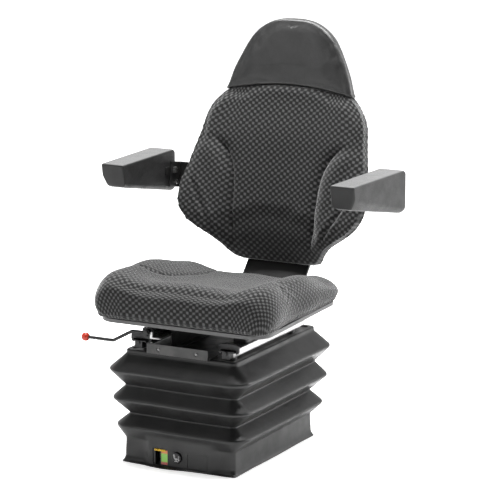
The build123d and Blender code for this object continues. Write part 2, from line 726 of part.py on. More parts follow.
# Front plate of the upper frame, a folded angle bolted through its two holes
front_foot_z = top_lip_z + rubber + seat_gap
with BuildPart() as front_plate:
    with BuildSketch(Plane.XZ.offset(-front_plate_y)):
        with Locations((0, front_foot_z + front_plate_height / 2)):
            RectangleRounded(front_plate_width, front_plate_height, 2)
        with Locations((-front_bolt_x, front_foot_z + front_bolt_up), (front_bolt_x, front_foot_z + front_bolt_up)):
            Circle(front_hole_r, mode=Mode.SUBTRACT)
    extrude(amount=-front_plate_sheet)
    with BuildSketch(Plane.XY.offset(front_foot_z)):
        with Locations((0, front_plate_y + front_plate_foot / 2)):
            Rectangle(front_plate_width, front_plate_foot)
    extrude(amount=front_plate_sheet)
write(front_plate.part, "front_plate")

with BuildPart() as front_bolts:
    with BuildSketch(Plane.XZ.offset(-front_plate_y - front_plate_sheet)):
        with Locations((-front_bolt_x, front_foot_z + front_bolt_up), (front_bolt_x, front_foot_z + front_bolt_up)):
            RegularPolygon(front_head_r, 6)
    extrude(amount=-front_head)
    with BuildSketch(Plane.XZ.offset(-front_plate_y)):
        with Locations((-front_bolt_x, front_foot_z + front_bolt_up), (front_bolt_x, front_foot_z + front_bolt_up)):
            Circle(front_bolt_r)
    extrude(amount=-front_plate_sheet - front_head / 2)
write(front_bolts.part, "front_bolts")

# Lower slide rails: a neck with hooked shoulders, on two spacers each
rail_top_z = rail_base_z + rail_rise
hook_z = rail_top_z - rail_sheet
with BuildPart() as lower_rail:
    with BuildSketch(Plane.XZ.offset(-rail_front)):
        with Locations((rail_x, rail_base_z + rail_rise / 2)):
            Rectangle(2 * rail_neck, rail_rise)
            Rectangle(2 * (rail_neck - rail_sheet), rail_rise, mode=Mode.SUBTRACT)
        with Locations((rail_x, rail_base_z + rail_sheet / 2)):
            Rectangle(2 * rail_neck, rail_sheet)
        for side in (-1, 1):
            with Locations((rail_x + side * (rail_neck + rail_head) / 2, rail_top_z - rail_sheet / 2)):
                Rectangle(rail_head - rail_neck, rail_sheet)
            with Locations((rail_x + side * (rail_head - rail_sheet / 2), rail_top_z - rail_sheet)):
                Rectangle(rail_sheet, 2 * rail_sheet)
    extrude(amount=-(rail_rear - rail_front))
    with BuildSketch(Plane.XY.offset(top_plate_z + top_sheet)):
        with Locations((rail_x, -rail_foot_y), (rail_x, rail_foot_y)):
            Circle(rail_neck - rail_foot_gap)
    extrude(amount=rail_base_z - top_plate_z - top_sheet)
write_pair(lower_rail.part, "lower_rail")

with BuildPart() as rail_stops:
    with BuildSketch(Plane.XZ.offset(-rail_front)):
        with Locations((rail_x, rail_base_z + rail_rise / 2)):
            Rectangle(2 * rail_neck, rail_rise)
        with Locations((rail_x, rail_top_z - rail_sheet / 2)):
            Rectangle(2 * rail_head, rail_sheet)
    extrude(amount=rail_cap)
    with BuildSketch(Plane.XZ.offset(-rail_front + rail_cap)):
        with Locations((rail_x, rail_base_z + rail_rise - rail_screw_r)):
            RegularPolygon(rail_screw_r, 6)
    extrude(amount=rail_screw)
    mirror(about=Plane.YZ)
write(rail_stops.part, "rail_stops")

# Upper slide rails: an inverted channel that hooks under the lower rail's shoulders
upper_top_z = rail_top_z + glide_height
upper_bottom_z = upper_top_z + rail_sheet - upper_rail_drop
hook_out = rail_head - rail_sheet - hook_clear
with BuildPart() as upper_rail:
    with BuildSketch(Plane.XZ.offset(-upper_rail_front)):
        with Locations((rail_x, upper_top_z + rail_sheet / 2)):
            Rectangle(2 * rail_half_width, rail_sheet)
        for side in (-1, 1):
            with Locations((rail_x + side * (rail_half_width - rail_sheet / 2),
                            (upper_top_z + rail_sheet + upper_bottom_z) / 2)):
                Rectangle(rail_sheet, upper_top_z + rail_sheet - upper_bottom_z)
            with Locations((rail_x + side * (rail_half_width + hook_out - rail_sheet) / 2,
                            upper_bottom_z + rail_sheet / 2)):
                Rectangle(rail_half_width - hook_out + rail_sheet, rail_sheet)
            with Locations((rail_x + side * (hook_out - rail_sheet / 2), upper_bottom_z + hook_lip / 2)):
                Rectangle(rail_sheet, hook_lip)
    extrude(amount=-(upper_rail_rear - upper_rail_front))
write_pair(upper_rail.part, "upper_rail")

with BuildPart() as rail_glides:
    with BuildSketch(Plane.XY.offset(rail_top_z + seat_gap)):
        with Locations((rail_x, -glide_y), (rail_x, glide_y)):
            RectangleRounded(glide_width, glide_length, rail_cap)
    extrude(amount=glide_height - seat_gap)
    mirror(about=Plane.YZ)
write(rail_glides.part, "rail_glides")

bezel_top = dish_floor_z - pan_sheet - bezel_clear
with BuildPart() as rail_bezels:
    with BuildSketch(Plane.XZ.offset(-upper_rail_front)):
        with Locations((rail_x, (upper_bottom_z + bezel_top) / 2)):
            RectangleRounded(2 * (rail_half_width + bezel_rim), bezel_top - upper_bottom_z, bezel_corner)
        with Locations((rail_x, (upper_bottom_z + rail_top_z) / 2)):
            Rectangle(2 * (rail_head + bezel_clear), rail_top_z - upper_bottom_z + 2 * bezel_clear, mode=Mode.SUBTRACT)
    extrude(amount=bezel_sheet)
    mirror(about=Plane.YZ)
write(rail_bezels.part, "rail_bezels")

# Seat pan: a pressed sheet with a turned-down band, a dish and four pressed feet on the rails
pan_mid_y = (pan_front + pan_rear) / 2
pan_depth = pan_rear - pan_front
pan_tilt = degrees(atan2(pan_rear_z - pan_front_z, pan_depth))
pan_mid_z = (pan_front_z + pan_rear_z) / 2


def pan_plane(height):
    """The band's plane, a height above its lower edge."""
    up = Vector(0, -sin(radians(pan_tilt)), cos(radians(pan_tilt)))
    return Plane(origin=Vector(0, pan_mid_y, pan_mid_z) + up * height, x_dir=(1, 0, 0), z_dir=up)


rail_seat_z = upper_top_z + rail_sheet


def dish(wall, floor_z, rim_height_above):
    """Tapered block that fills the dish, inside a wall of the given thickness."""
    with BuildSketch(pan_plane(rim_height_above)) as mouth:
        with Locations((0, -pan_mid_y)):
            RectangleRounded(2 * (dish_half_width - wall), 2 * (dish_half_depth - wall), dish_corner)
    with BuildSketch(Plane.XY.offset(floor_z)) as floor:
        RectangleRounded(2 * (dish_half_width - dish_taper - wall),
                         2 * (dish_half_depth - dish_taper - wall), dish_corner - dish_taper / 2)
    return [floor.sketch, mouth.sketch]


with BuildPart() as seat_pan:
    with BuildSketch(pan_plane(0)):
        RectangleRounded(2 * pan_half_width, pan_depth, pan_corner)
    extrude(amount=pan_band)
    with BuildSketch(pan_plane(0)):
        RectangleRounded(2 * (pan_half_width - pan_sheet), pan_depth - 2 * pan_sheet, pan_corner - pan_sheet)
    extrude(amount=pan_band - pan_sheet, mode=Mode.SUBTRACT)
    loft(dish(0, dish_floor_z, pan_band - pan_sheet))
    with BuildSketch(Plane.XY.offset(rail_seat_z)):
        with GridLocations(2 * rail_x, 2 * pan_foot_y, 2, 2):
            RectangleRounded(pan_foot_width, pan_foot_length, pan_foot_corner)
    extrude(amount=dish_floor_z - rail_seat_z + pan_sheet)
    loft(dish(pan_sheet, dish_floor_z + pan_sheet, pan_band + 0.01), mode=Mode.SUBTRACT)
write(seat_pan.part, "seat_pan")

# Seat cushion: sections across the seat, with side bolsters and a falling middle
cushion_below = 1.5
bolster_share, valley_share, valley_rise = 0.86, 0.55, 0.22
under_inset, side_drop = 18.0, 4.0
plug_gap = 1.0
cushion_base = pan_band + seat_gap
# Each station is y, half-width, rise of the underside, bolster height and middle height
cushion_stations = [
    (-225.0, 203.0, 18.0, 422.0, 412.0),
    (-214.0, 231.0, 5.0, 438.0, 428.0),
    (-190.0, 244.0, 0.0, 449.0, 436.0),
    (-110.0, 245.0, 0.0, 455.0, 430.0),
    (-10.0, 245.0, 0.0, 452.0, 415.0),
    (90.0, 245.0, 0.0, 435.0, 406.0),
    (160.0, 243.0, 0.0, 420.0, 403.0),
    (195.0, 233.0, 4.0, 412.0, 400.0),
    (206.0, 207.0, 14.0, 402.0, 391.0),
]
cushion_underside = pan_mid_z + cushion_base


def cushion_section(y, half_width, rise, bolster, middle):
    bottom = cushion_underside + (y - pan_mid_y) * tan(radians(pan_tilt)) - cushion_below + rise
    side = (bottom + bolster) / 2 - side_drop
    valley = middle + valley_rise * (bolster - middle)
    foot = half_width - under_inset
    with BuildSketch(Plane.XZ.offset(-y)) as section:
        with BuildLine():
            Line((-foot, bottom), (foot, bottom))
            Spline((foot, bottom), (half_width, side), (half_width * bolster_share, bolster),
                   (half_width * valley_share, valley), (0, middle), (-half_width * valley_share, valley),
                   (-half_width * bolster_share, bolster), (-half_width, side), (-foot, bottom))
        make_face()
    return section.sketch


with BuildPart() as seat_cushion:
    loft([cushion_section(*station) for station in cushion_stations])
    with BuildSketch(pan_plane(cushion_base)):
        Rectangle(2 * cut_size, 2 * cut_size)
    extrude(amount=-cut_size, mode=Mode.SUBTRACT)
    loft(dish(pan_sheet + plug_gap, dish_floor_z + pan_sheet + seat_gap, pan_band + 4 * plug_gap))
write(seat_cushion.part, "seat_cushion")

# Lever bracket: folded tab under the pan that holds the lever's pin
bracket_face_y = lever_y + lever_hub_width / 2 + seat_gap
tab_front, tab_rear = bracket_face_y, tab_reach - dish_half_depth
with BuildPart() as lever_bracket:
    with BuildSketch(Plane.XZ.offset(-bracket_face_y)):
        with Locations((tab_x, tab_z)):
            RectangleRounded(tab_width, tab_height, tab_corner)
    extrude(amount=-tab_sheet)
    with BuildSketch(Plane.XY.offset(dish_floor_z - tab_sheet)):
        with Locations((tab_x + tab_width / 2 - tab_arm / 2, (tab_front + tab_rear) / 2)):
            Rectangle(tab_arm, tab_rear - tab_front)
    extrude(amount=tab_sheet)
    with BuildSketch(Plane.XZ.offset(-bracket_face_y)):
        with Locations((lever_x, lever_z)):
            Circle(lever_pin_r)
    extrude(amount=lever_hub_width + 2 * seat_gap)
    with BuildSketch(Plane.XZ.offset(-bracket_face_y + lever_hub_width + 2 * seat_gap)):
        with Locations((lever_x, lever_z)):
            RegularPolygon(lever_nut_r, 6)
    extrude(amount=lever_pin_r)
write(lever_bracket.part, "lever_bracket")

with BuildPart() as lock_lever:
    with BuildLine() as rod:
        FilletPolyline((lever_x - lever_hub_r + lever_rod_r / 2, lever_y, lever_z),
                       (lever_shoulder_x, lever_y, lever_z),
                       (lever_bend_x, lever_y, lever_bend_z),
                       (lever_knob_x, lever_y, lever_bend_z), radius=lever_bend_r)
    with BuildSketch(Plane(origin=rod.line @ 0, z_dir=rod.line % 0)):
        Circle(lever_rod_r)
    sweep()
    with BuildSketch(Plane.XZ.offset(-lever_y)):
        with Locations((lever_x, lever_z)):
            Circle(lever_hub_r)
    extrude(amount=lever_hub_width / 2, both=True)
    with BuildSketch(Plane.XZ.offset(-lever_y)):
        with Locations((lever_x, lever_z)):
            Circle(lever_pin_r + running_gap)
    extrude(amount=lever_hub_width, both=True, mode=Mode.SUBTRACT)
write(lock_lever.part, "lock_lever")

knob_mid_x = lever_knob_x + lever_knob_sink
with BuildPart() as lever_knob:
    with BuildSketch(Plane.XZ.offset(-lever_y)):
        with BuildLine():
            Line((knob_mid_x - lever_knob_r, lever_bend_z), (knob_mid_x + lever_knob_r, lever_bend_z))
            ThreePointArc((knob_mid_x + lever_knob_r, lever_bend_z), (knob_mid_x, lever_bend_z + lever_knob_r),
                          (knob_mid_x - lever_knob_r, lever_bend_z))
        make_face()
    revolve(axis=Axis((0, lever_y, lever_bend_z), (1, 0, 0)))
    with BuildSketch(Plane(origin=(lever_knob_x, lever_y, lever_bend_z), z_dir=(1, 0, 0))):
        Circle(lever_rod_r)
    extrude(amount=2 * lever_knob_r, mode=Mode.SUBTRACT)
write(lever_knob.part, "lever_knob")

# Latch plate that the lever carries, and the notched bar it works against. Its riser passes beside the bar
latch_hub_x = lever_x + lever_hub_r - 1
latch_riser_x = latch_left - side_gap
latch_top_z = lever_z + latch_sheet
latch_front = lever_y - latch_sheet / 2
latch_arm_y = lever_y + lever_hub_width / 2
latch_teeth = [(latch_left, latch_rear - latch_tooth_inset - tooth_pitch * tooth) for tooth in range(3)]
with BuildPart() as latch_plate:
    with BuildSketch(Plane.XZ.offset(-latch_front - latch_sheet)):
        with Locations(((latch_hub_x + latch_riser_x) / 2, (latch_z + latch_top_z) / 2)):
            Rectangle(latch_riser_x - latch_hub_x, latch_top_z - latch_z)
        with Locations((lever_x, lever_z)):
            Circle(lever_hub_r, mode=Mode.SUBTRACT)
    extrude(amount=latch_sheet)
    with BuildSketch(Plane.XY.offset(latch_z)):
        with Locations(((latch_left + latch_right) / 2, (latch_front + latch_rear) / 2)):
            Rectangle(latch_right - latch_left, latch_rear - latch_front)
        with Locations(*latch_teeth):
            Rectangle(tooth_width, tooth_width, mode=Mode.SUBTRACT)
        with Locations(((latch_hub_x + latch_left) / 2, (latch_front + latch_arm_y) / 2)):
            Rectangle(latch_left - latch_hub_x, latch_arm_y - latch_front)
    extrude(amount=latch_sheet)
write(latch_plate.part, "latch_plate")

rack_z = latch_z + latch_sheet + rack_gap
rack_front, rack_rear = latch_rear - slide_travel - tooth_pitch, latch_rear + slide_travel + tooth_width
rack_wall_x = latch_right + side_gap
rack_mid_y = (rack_front + rack_rear) / 2
rack_foot_z = top_plate_z + top_sheet
with BuildPart() as lock_rack:
    with BuildSketch(Plane.XY.offset(rack_z)):
        with Locations(((latch_left + rack_wall_x + rack_sheet) / 2, rack_mid_y)):
            Rectangle(rack_wall_x + rack_sheet - latch_left, rack_rear - rack_front)
        with Locations(((latch_left + latch_right) / 2, rack_mid_y)):
            with GridLocations(0, tooth_pitch, 1, rack_notches):
                Rectangle(2 * tooth_width, tooth_width, mode=Mode.SUBTRACT)
    extrude(amount=rack_sheet)
    with BuildSketch(Plane.XY.offset(rack_foot_z)):
        with Locations((rack_wall_x + rack_sheet / 2, rack_mid_y)):
            Rectangle(rack_sheet, rack_rear - rack_front)
    extrude(amount=rack_z - rack_foot_z)
    with BuildSketch(Plane.XY.offset(rack_foot_z)):
        with Locations((rack_wall_x + rack_foot / 2, rack_mid_y)):
            Rectangle(rack_foot, rack_rear - rack_front)
    extrude(amount=rack_sheet)
write(lock_rack.part, "lock_rack")

# Recliner ears under the pan and the hinge pin
slope = atan2(bracket_high_z - bracket_low_z, bracket_high_y - bracket_low_y)
hinge_z = bracket_low_z - (bracket_low_y - hinge_y) * tan(slope)
ear_x = bracket_half_width + ear_gap
with BuildPart() as recliner_ears:
    with BuildSketch(Plane.YZ.offset(ear_x)):
        with BuildLine():
            Polyline((ear_front_y, dish_floor_z), (ear_front_y, dish_floor_z - ear_depth),
                     (ear_bend_y, dish_floor_z - ear_depth), (hinge_y + ear_depth / 2, hinge_z - ear_end_r),
                     (hinge_y - ear_depth / 2, hinge_z + ear_end_r - 1), (ear_bend_y, dish_floor_z + ear_depth),
                     (dish_half_depth - dish_taper, dish_floor_z), close=True)
        make_face()
        with Locations((hinge_y, hinge_z)):
            Circle(ear_end_r)
            Circle(hinge_pin_r, mode=Mode.SUBTRACT)
    extrude(amount=ear_sheet)
    mirror(about=Plane.YZ)
write(recliner_ears.part, "recliner_ears")

with BuildPart() as recliner_pin:
    with BuildSketch(Plane.YZ):
        with Locations((hinge_y, hinge_z)):
            Circle(hinge_pin_r)
    extrude(amount=ear_x + ear_sheet, both=True)
    for side in (-1, 1):
        with BuildSketch(Plane.YZ.offset(side * (ear_x + ear_sheet))):
            with Locations((hinge_y, hinge_z)):
                RegularPolygon(1.5 * hinge_pin_r, 6)
        extrude(amount=side * ear_sheet)
write(recliner_pin.part, "recliner_pin")

# Backrest planes. Height s runs up the lean, depth is square to it and positive to the rear
lean_up = Vector(0, sin(radians(lean)), cos(radians(lean)))
lean_rear = Vector(0, cos(radians(lean)), -sin(radians(lean)))
back_foot = Vector(0, back_y, back_z)


def back_cross(s):
    """Plane square to the back at height s, with local y to the rear."""
    return Plane(origin=back_foot + lean_up * s, x_dir=(1, 0, 0), z_dir=lean_up)


def back_face(depth):
    """Plane along the back at a depth, seen from the front, with local y up the back."""
    return Plane(origin=back_foot + lean_rear * depth, x_dir=(1, 0, 0), z_dir=-lean_rear)


def rear_arc(half_width, forward, middle, thickness):
    """Centre depth and radius of the circle that the pad's rear face follows."""
    back = middle + thickness
    sag = back - (back_edge / 2 - forward)
    radius = (half_width ** 2 + sag ** 2) / (2 * sag)
    return back - radius, radius


def back_section(s, half_width, forward, middle, thickness):
    front_edge = -forward - back_edge / 2
    rear_edge = -forward + back_edge / 2
    with BuildSketch(back_cross(s)) as section:
        with BuildLine():
            ThreePointArc((-half_width, front_edge), (0, middle), (half_width, front_edge))
            Line((half_width, front_edge), (half_width, rear_edge))
            ThreePointArc((half_width, rear_edge), (0, middle + thickness), (-half_width, rear_edge))
            Line((-half_width, rear_edge), (-half_width, front_edge))
        make_face()
    return section.sketch


def shell_section(s, half_width, forward, middle, thickness):
    centre, radius = rear_arc(half_width, forward, middle, thickness)
    inner = radius + shell_gap
    outer = inner + shell_wall
    reach = half_width - shell_inset
    inner_edge = centre + (inner ** 2 - reach ** 2) ** 0.5
    outer_edge = centre + (outer ** 2 - reach ** 2) ** 0.5
    with BuildSketch(back_cross(s)) as section:
        with BuildLine():
            ThreePointArc((-reach, inner_edge), (0, centre + inner), (reach, inner_edge))
            Line((reach, inner_edge), (reach, outer_edge))
            ThreePointArc((reach, outer_edge), (0, centre + outer), (-reach, outer_edge))
            Line((-reach, outer_edge), (-reach, inner_edge))
        make_face()
    return section.sketch


def front_of_shell(gap):
    """Solid that fills everything in front of the shell's rear face, and a gap behind it."""
    outlines = []
    for s, half_width, forward, middle, thickness in back_stations:
        centre, radius = rear_arc(half_width, forward, middle, thickness)
        outer = radius + shell_gap + shell_wall + gap
        reach = half_width + gap
        outer_edge = centre + (outer ** 2 - reach ** 2) ** 0.5
        with BuildSketch(back_cross(s)) as section:
            with BuildLine():
                Polyline((reach, outer_edge), (reach, -block_reach), (-reach, -block_reach), (-reach, outer_edge))
                ThreePointArc((-reach, outer_edge), (0, centre + outer), (reach, outer_edge))
            make_face()
        outlines.append(section.sketch)
    with BuildPart() as block:
        loft(outlines)
    return block.part


def shell_rear(x, s):
    """Depth of the shell's rear face at x, from the stations on either side of s."""
    for low, high in zip(back_stations, back_stations[1:]):
        if low[0] <= s <= high[0]:
            share = (s - low[0]) / (high[0] - low[0])
            between = [a + share * (b - a) for a, b in zip(low[1:], high[1:])]
    centre, radius = rear_arc(*between)
    return centre + ((radius + shell_gap + shell_wall) ** 2 - x ** 2) ** 0.5


# The pad and the shell end on the slope of the bracket, which passes under them
slope_up = Vector(0, cos(slope), sin(slope))
slope_out = Vector(0, sin(slope), -cos(slope))
slope_plane = Plane(origin=Vector(0, bracket_high_y, bracket_high_z) - slope_out, x_dir=(1, 0, 0),
                    z_dir=slope_out)

with BuildPart() as backrest_cushion:
    loft([back_section(*station) for station in back_stations])
    with BuildSketch(slope_plane):
        Rectangle(2 * cut_size, 2 * cut_size)
    extrude(amount=cut_size, mode=Mode.SUBTRACT)
    with BuildSketch(back_face(0)):
        with BuildLine():
            ThreePointArc((-top_seam_x, top_seam_corner), (0, top_seam_middle), (top_seam_x, top_seam_corner))
            Polyline((top_seam_x, top_seam_corner), (cut_size, top_seam_corner), (cut_size, 2 * cut_size),
                     (-cut_size, 2 * cut_size), (-cut_size, top_seam_corner), (-top_seam_x, top_seam_corner))
        make_face()
    extrude(amount=cut_size, both=True, mode=Mode.SUBTRACT)
write(backrest_cushion.part, "backrest_cushion")

with BuildPart() as backrest_shell:
    loft([shell_section(*station) for station in back_stations])
    with BuildSketch(slope_plane):
        Rectangle(2 * cut_size, 2 * cut_size)
    extrude(amount=cut_size, mode=Mode.SUBTRACT)
    for trim_s, reach in ((shell_low, -cut_size), (shell_high, cut_size)):
        with BuildSketch(back_cross(trim_s)):
            Rectangle(2 * cut_size, 2 * cut_size)
        extrude(amount=reach, mode=Mode.SUBTRACT)
write(backrest_shell.part, "backrest_shell")

# Bracket: a bent plate from the hinge tube, under the pad and up the rear of the shell
bracket_depth = max(station[3] + station[4] for station in back_stations) + shell_gap + shell_wall + bracket_clear
line_start = Vector(0, hinge_y, hinge_z)
# Where the slope meets the plane of the shell's rear
rear_point = back_foot + lean_rear * bracket_depth
delta = rear_point - line_start
cross = slope_up.Y * lean_up.Z - slope_up.Z * lean_up.Y
bend_t = (delta.Y * lean_up.Z - delta.Z * lean_up.Y) / cross
bend_point = line_start + slope_up * bend_t
top_point = rear_point + lean_up * bracket_top


def offset_bend(distance):
    """The bend's corner after both runs move out by the plate's thickness."""
    a = line_start + slope_out * distance
    b = rear_point + lean_rear * distance
    d = b - a
    t = (d.Y * lean_up.Z - d.Z * lean_up.Y) / cross
    return a + slope_up * t


def yz(v):
    return (v.Y, v.Z)


with BuildPart() as backrest_bracket:
    # Raised seats around the four bolts reach the curved shell
    with BuildSketch(back_face(bracket_depth + 1)):
        with Locations((0, bracket_bolt_s)):
            with GridLocations(2 * bracket_bolt_x, bracket_bolt_pitch, 2, 2):
                Circle(bracket_pad_r)
    extrude(amount=bracket_pad_reach)
    add(front_of_shell(seat_gap), mode=Mode.SUBTRACT)
    with BuildSketch(Plane.YZ.offset(-bracket_half_width)):
        with BuildLine():
            Polyline(yz(line_start), yz(bend_point), yz(top_point),
                     yz(top_point + lean_rear * bracket_sheet), yz(offset_bend(bracket_sheet)),
                     yz(line_start + slope_out * bracket_sheet), close=True)
        make_face()
    extrude(amount=2 * bracket_half_width)
    hole_plane = Plane(origin=(0, bracket_hole_y, bracket_hole_z), x_dir=(1, 0, 0), z_dir=slope_out)
    with BuildSketch(hole_plane):
        with Locations((-bracket_hole_x, 0), (bracket_hole_x, 0)):
            Circle(bracket_hole_r)
    extrude(amount=2 * bracket_sheet, both=True, mode=Mode.SUBTRACT)
    with BuildSketch(Plane.YZ.offset(-bracket_half_width)):
        with Locations((hinge_y, hinge_z)):
            Circle(hinge_tube_r)
    extrude(amount=2 * bracket_half_width)
    with BuildSketch(Plane.YZ.offset(-bracket_half_width)):
        with Locations((hinge_y, hinge_z)):
            Circle(hinge_pin_r + running_gap)
    extrude(amount=2 * bracket_half_width, mode=Mode.SUBTRACT)
write(backrest_bracket.part, "backrest_bracket")

with BuildPart() as bracket_bolts:
    with BuildSketch(back_face(bracket_depth + bracket_sheet)):
        with Locations((0, bracket_bolt_s)):
            with GridLocations(2 * bracket_bolt_x, bracket_bolt_pitch, 2, 2):
                RegularPolygon(bracket_bolt_r, 6)
    extrude(amount=-bracket_bolt_head)
write(bracket_bolts.part, "bracket_bolts")

# Backrest extension: pad, cranked stays and their guides
guide_depth = bracket_depth + guide_wall + guide_gap + stay_sheet / 2
with BuildPart() as stay_guides:
    for side in (-1, 1):
        with BuildSketch(back_cross(guide_low)):
            with Locations((side * stay_x, guide_depth)):
                Rectangle(stay_width + 2 * guide_wall, stay_sheet + 2 * guide_wall)
            with Locations((side * stay_x, guide_depth - guide_foot / 2)):
                Rectangle(stay_width + 2 * guide_wall, guide_foot)
            with Locations((side * stay_x, guide_depth)):
                Rectangle(stay_width + 2 * guide_gap, stay_sheet + 2 * guide_gap, mode=Mode.SUBTRACT)
        extrude(amount=guide_high - guide_low)
    add(front_of_shell(seat_gap), mode=Mode.SUBTRACT)
write(stay_guides.part, "stay_guides")

extension_rear = extension_thickness - extension_proud
with BuildPart() as extension_stays:
    for side in (-1, 1):
        stay_face = Plane(origin=back_foot + Vector(side * stay_x - stay_width / 2, 0, 0),
                          x_dir=lean_rear, z_dir=(1, 0, 0))
        # local x to the rear, local y is minus the height up the back
        with BuildSketch(stay_face):
            with BuildLine():
                front_run = guide_depth - stay_sheet / 2
                rear_run = guide_depth + stay_sheet / 2
                near = extension_rear + seat_gap
                far = near + stay_sheet
                sign = 1 if stay_face.y_dir.Z > 0 else -1
                Polyline((front_run, sign * (guide_low + 10)), (front_run, sign * 446), (near, sign * 490),
                         (near, sign * 570), (far, sign * 570), (far, sign * 493),
                         (rear_run, sign * 448.5), (rear_run, sign * (guide_low + 10)), close=True)
            make_face()
        extrude(amount=stay_width)
write(extension_stays.part, "extension_stays")

with BuildPart() as extension_pad:
    with BuildSketch(back_face(extension_rear)):
        with BuildLine():
            seam = ThreePointArc((-180, top_seam_corner + 1), (0, top_seam_middle + 1), (180, top_seam_corner + 1))
            Spline((180, top_seam_corner + 1), (154, 500), (129, 551), (104, 588), (60, 618), (0, 624),
                   (-60, 618), (-104, 588), (-129, 551), (-154, 500), (-180, top_seam_corner + 1))
        make_face()
    extrude(amount=extension_thickness)
    fillet(extension_pad.faces().sort_by(Axis((0, 0, 0), lean_rear))[0].edges(), 10)
    fillet(extension_pad.faces().sort_by(Axis((0, 0, 0), lean_rear))[-1].edges(), 8)
write(extension_pad.part, "extension_pad")

# Armrest brackets: bent straps from the shell's rear to the armrest pivot
arm_offset = Vector(0, arm_pivot_y, arm_pivot_z) - back_foot
arm_s = arm_offset.dot(lean_up)
arm_depth = arm_offset.dot(lean_rear)
strap_in = arm_bracket_x - arm_bracket_sheet / 2
strap_out = arm_bracket_x + arm_bracket_sheet / 2
strap_rear = shell_rear(strap_turn_x, arm_s) + arm_bracket_sheet
with BuildPart() as armrest_bracket:
    with BuildSketch(back_cross(arm_s - strap_low)):
        with BuildLine():
            Polyline((strap_in, arm_depth - strap_nose), (strap_out, arm_depth - strap_nose),
                     (strap_out, strap_rear - strap_turn), (strap_turn_x, strap_rear),
                     (strap_end_x, strap_rear + strap_turn), (strap_end_x, strap_rear - strap_foot),
                     (strap_turn_x, strap_rear - strap_foot), (strap_in, strap_rear - 2 * strap_turn), close=True)
        make_face()
    extrude(amount=strap_low + strap_high)
    with BuildSketch(Plane.YZ.offset(strap_in)):
        with Locations((arm_pivot_y, arm_pivot_z)):
            Circle(arm_pin_r)
        with Locations((arm_stop_y, arm_stop_z)):
            Circle(arm_stop_r)
    extrude(amount=arm_bracket_sheet, mode=Mode.SUBTRACT)
    add(front_of_shell(seat_gap), mode=Mode.SUBTRACT)
write_pair(armrest_bracket.part, "armrest_bracket")

plate_x = strap_out + side_gap
plate_sheet = arm_inner_x - arm_pad_gap - seat_gap - plate_x
# Pivot bolt and stop pin of each armrest, both held by the bracket
with BuildPart() as armrest_pivots:
    with BuildSketch(Plane.YZ.offset(strap_in)):
        with Locations((arm_pivot_y, arm_pivot_z)):
            Circle(arm_pin_r)
    extrude(amount=arm_bore_depth + arm_inner_x - strap_in - side_gap)
    with BuildSketch(Plane.YZ.offset(strap_in)):
        with Locations((arm_pivot_y, arm_pivot_z)):
            RegularPolygon(arm_pin_r + 3, 6)
        with Locations((arm_stop_y, arm_stop_z)):
            RegularPolygon(arm_stop_r + 2.5, 6)
    extrude(amount=-arm_pin_r)
    with BuildSketch(Plane.YZ.offset(strap_in)):
        with Locations((arm_stop_y, arm_stop_z)):
            Circle(arm_stop_r)
    extrude(amount=arm_bracket_sheet + side_gap + plate_sheet)
    mirror(about=Plane.YZ)
write(armrest_pivots.part, "armrest_pivots")

arm_lug_rear = arm_stop_y - arm_stop_r - seat_gap
with BuildPart() as armrest_plate:
    with BuildSketch(Plane.YZ.offset(plate_x)):
        with Locations((arm_pivot_y, arm_pivot_z)):
            Circle(arm_hub_r)
        with Locations((arm_pivot_y - arm_plate_length / 2, arm_pivot_z)):
            Rectangle(arm_plate_length, arm_plate_height)
        with Locations((arm_lug_rear - arm_lug / 2, (arm_pivot_z + arm_stop_z) / 2)):
            Rectangle(arm_lug, arm_pivot_z - arm_stop_z)
        with Locations((arm_pivot_y, arm_pivot_z)):
            Circle(arm_pin_r + running_gap, mode=Mode.SUBTRACT)
    extrude(amount=plate_sheet)
write_pair(armrest_plate.part, "armrest_plate")



def pad_section(y, inner, outer, low, bevel):
    """Section across the armrest, with its two lower edges bevelled."""
    wide, high = bevel
    with BuildSketch(Plane.XZ.offset(-y)) as section:
        with BuildLine():
            Polyline((inner, arm_top), (outer, arm_top), (outer, low + high), (outer - wide, low), (inner + wide, low),
                     (inner, low + high), close=True)
        make_face()
    return section.sketch


with BuildPart() as armrest_pad:
    loft([pad_section(arm_front, arm_front_inner_x, arm_front_outer_x, arm_front_low, arm_bevel_front),
          pad_section(arm_rear, arm_inner_x, arm_outer_x, arm_rear_low, arm_bevel_rear)], ruled=True)
    fillet(armrest_pad.faces().sort_by(Axis.Y)[-1].edges().sort_by(Axis.Z)[-1], arm_rear_r)
    # The front face leans back towards its foot
    with BuildSketch(Plane.YZ):
        with BuildLine():
            Polyline((arm_front, arm_top), (arm_front - arm_front_lean, arm_top),
                     (arm_front - arm_front_lean, arm_front_low - arm_front_lean),
                     (arm_front + arm_front_lean, arm_front_low - arm_front_lean), (arm_front, arm_top))
        make_face()
    extrude(amount=arm_outer_x, mode=Mode.SUBTRACT)
    fillet(armrest_pad.faces().sort_by(Axis.Z)[-1].edges().filter_by(Axis.Y, reverse=True), arm_edge_r)
    with BuildSketch(Plane.YZ.offset(arm_front_inner_x)):
        with Locations((arm_pivot_y, arm_pivot_z)):
            Circle(arm_pin_r + running_gap)
    extrude(amount=arm_bore_depth + arm_inner_x - arm_front_inner_x, mode=Mode.SUBTRACT)
write_pair(armrest_pad.part, "armrest_pad")
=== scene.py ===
import bpy
import bmesh
import json
import math
import numpy as np
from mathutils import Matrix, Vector, noise


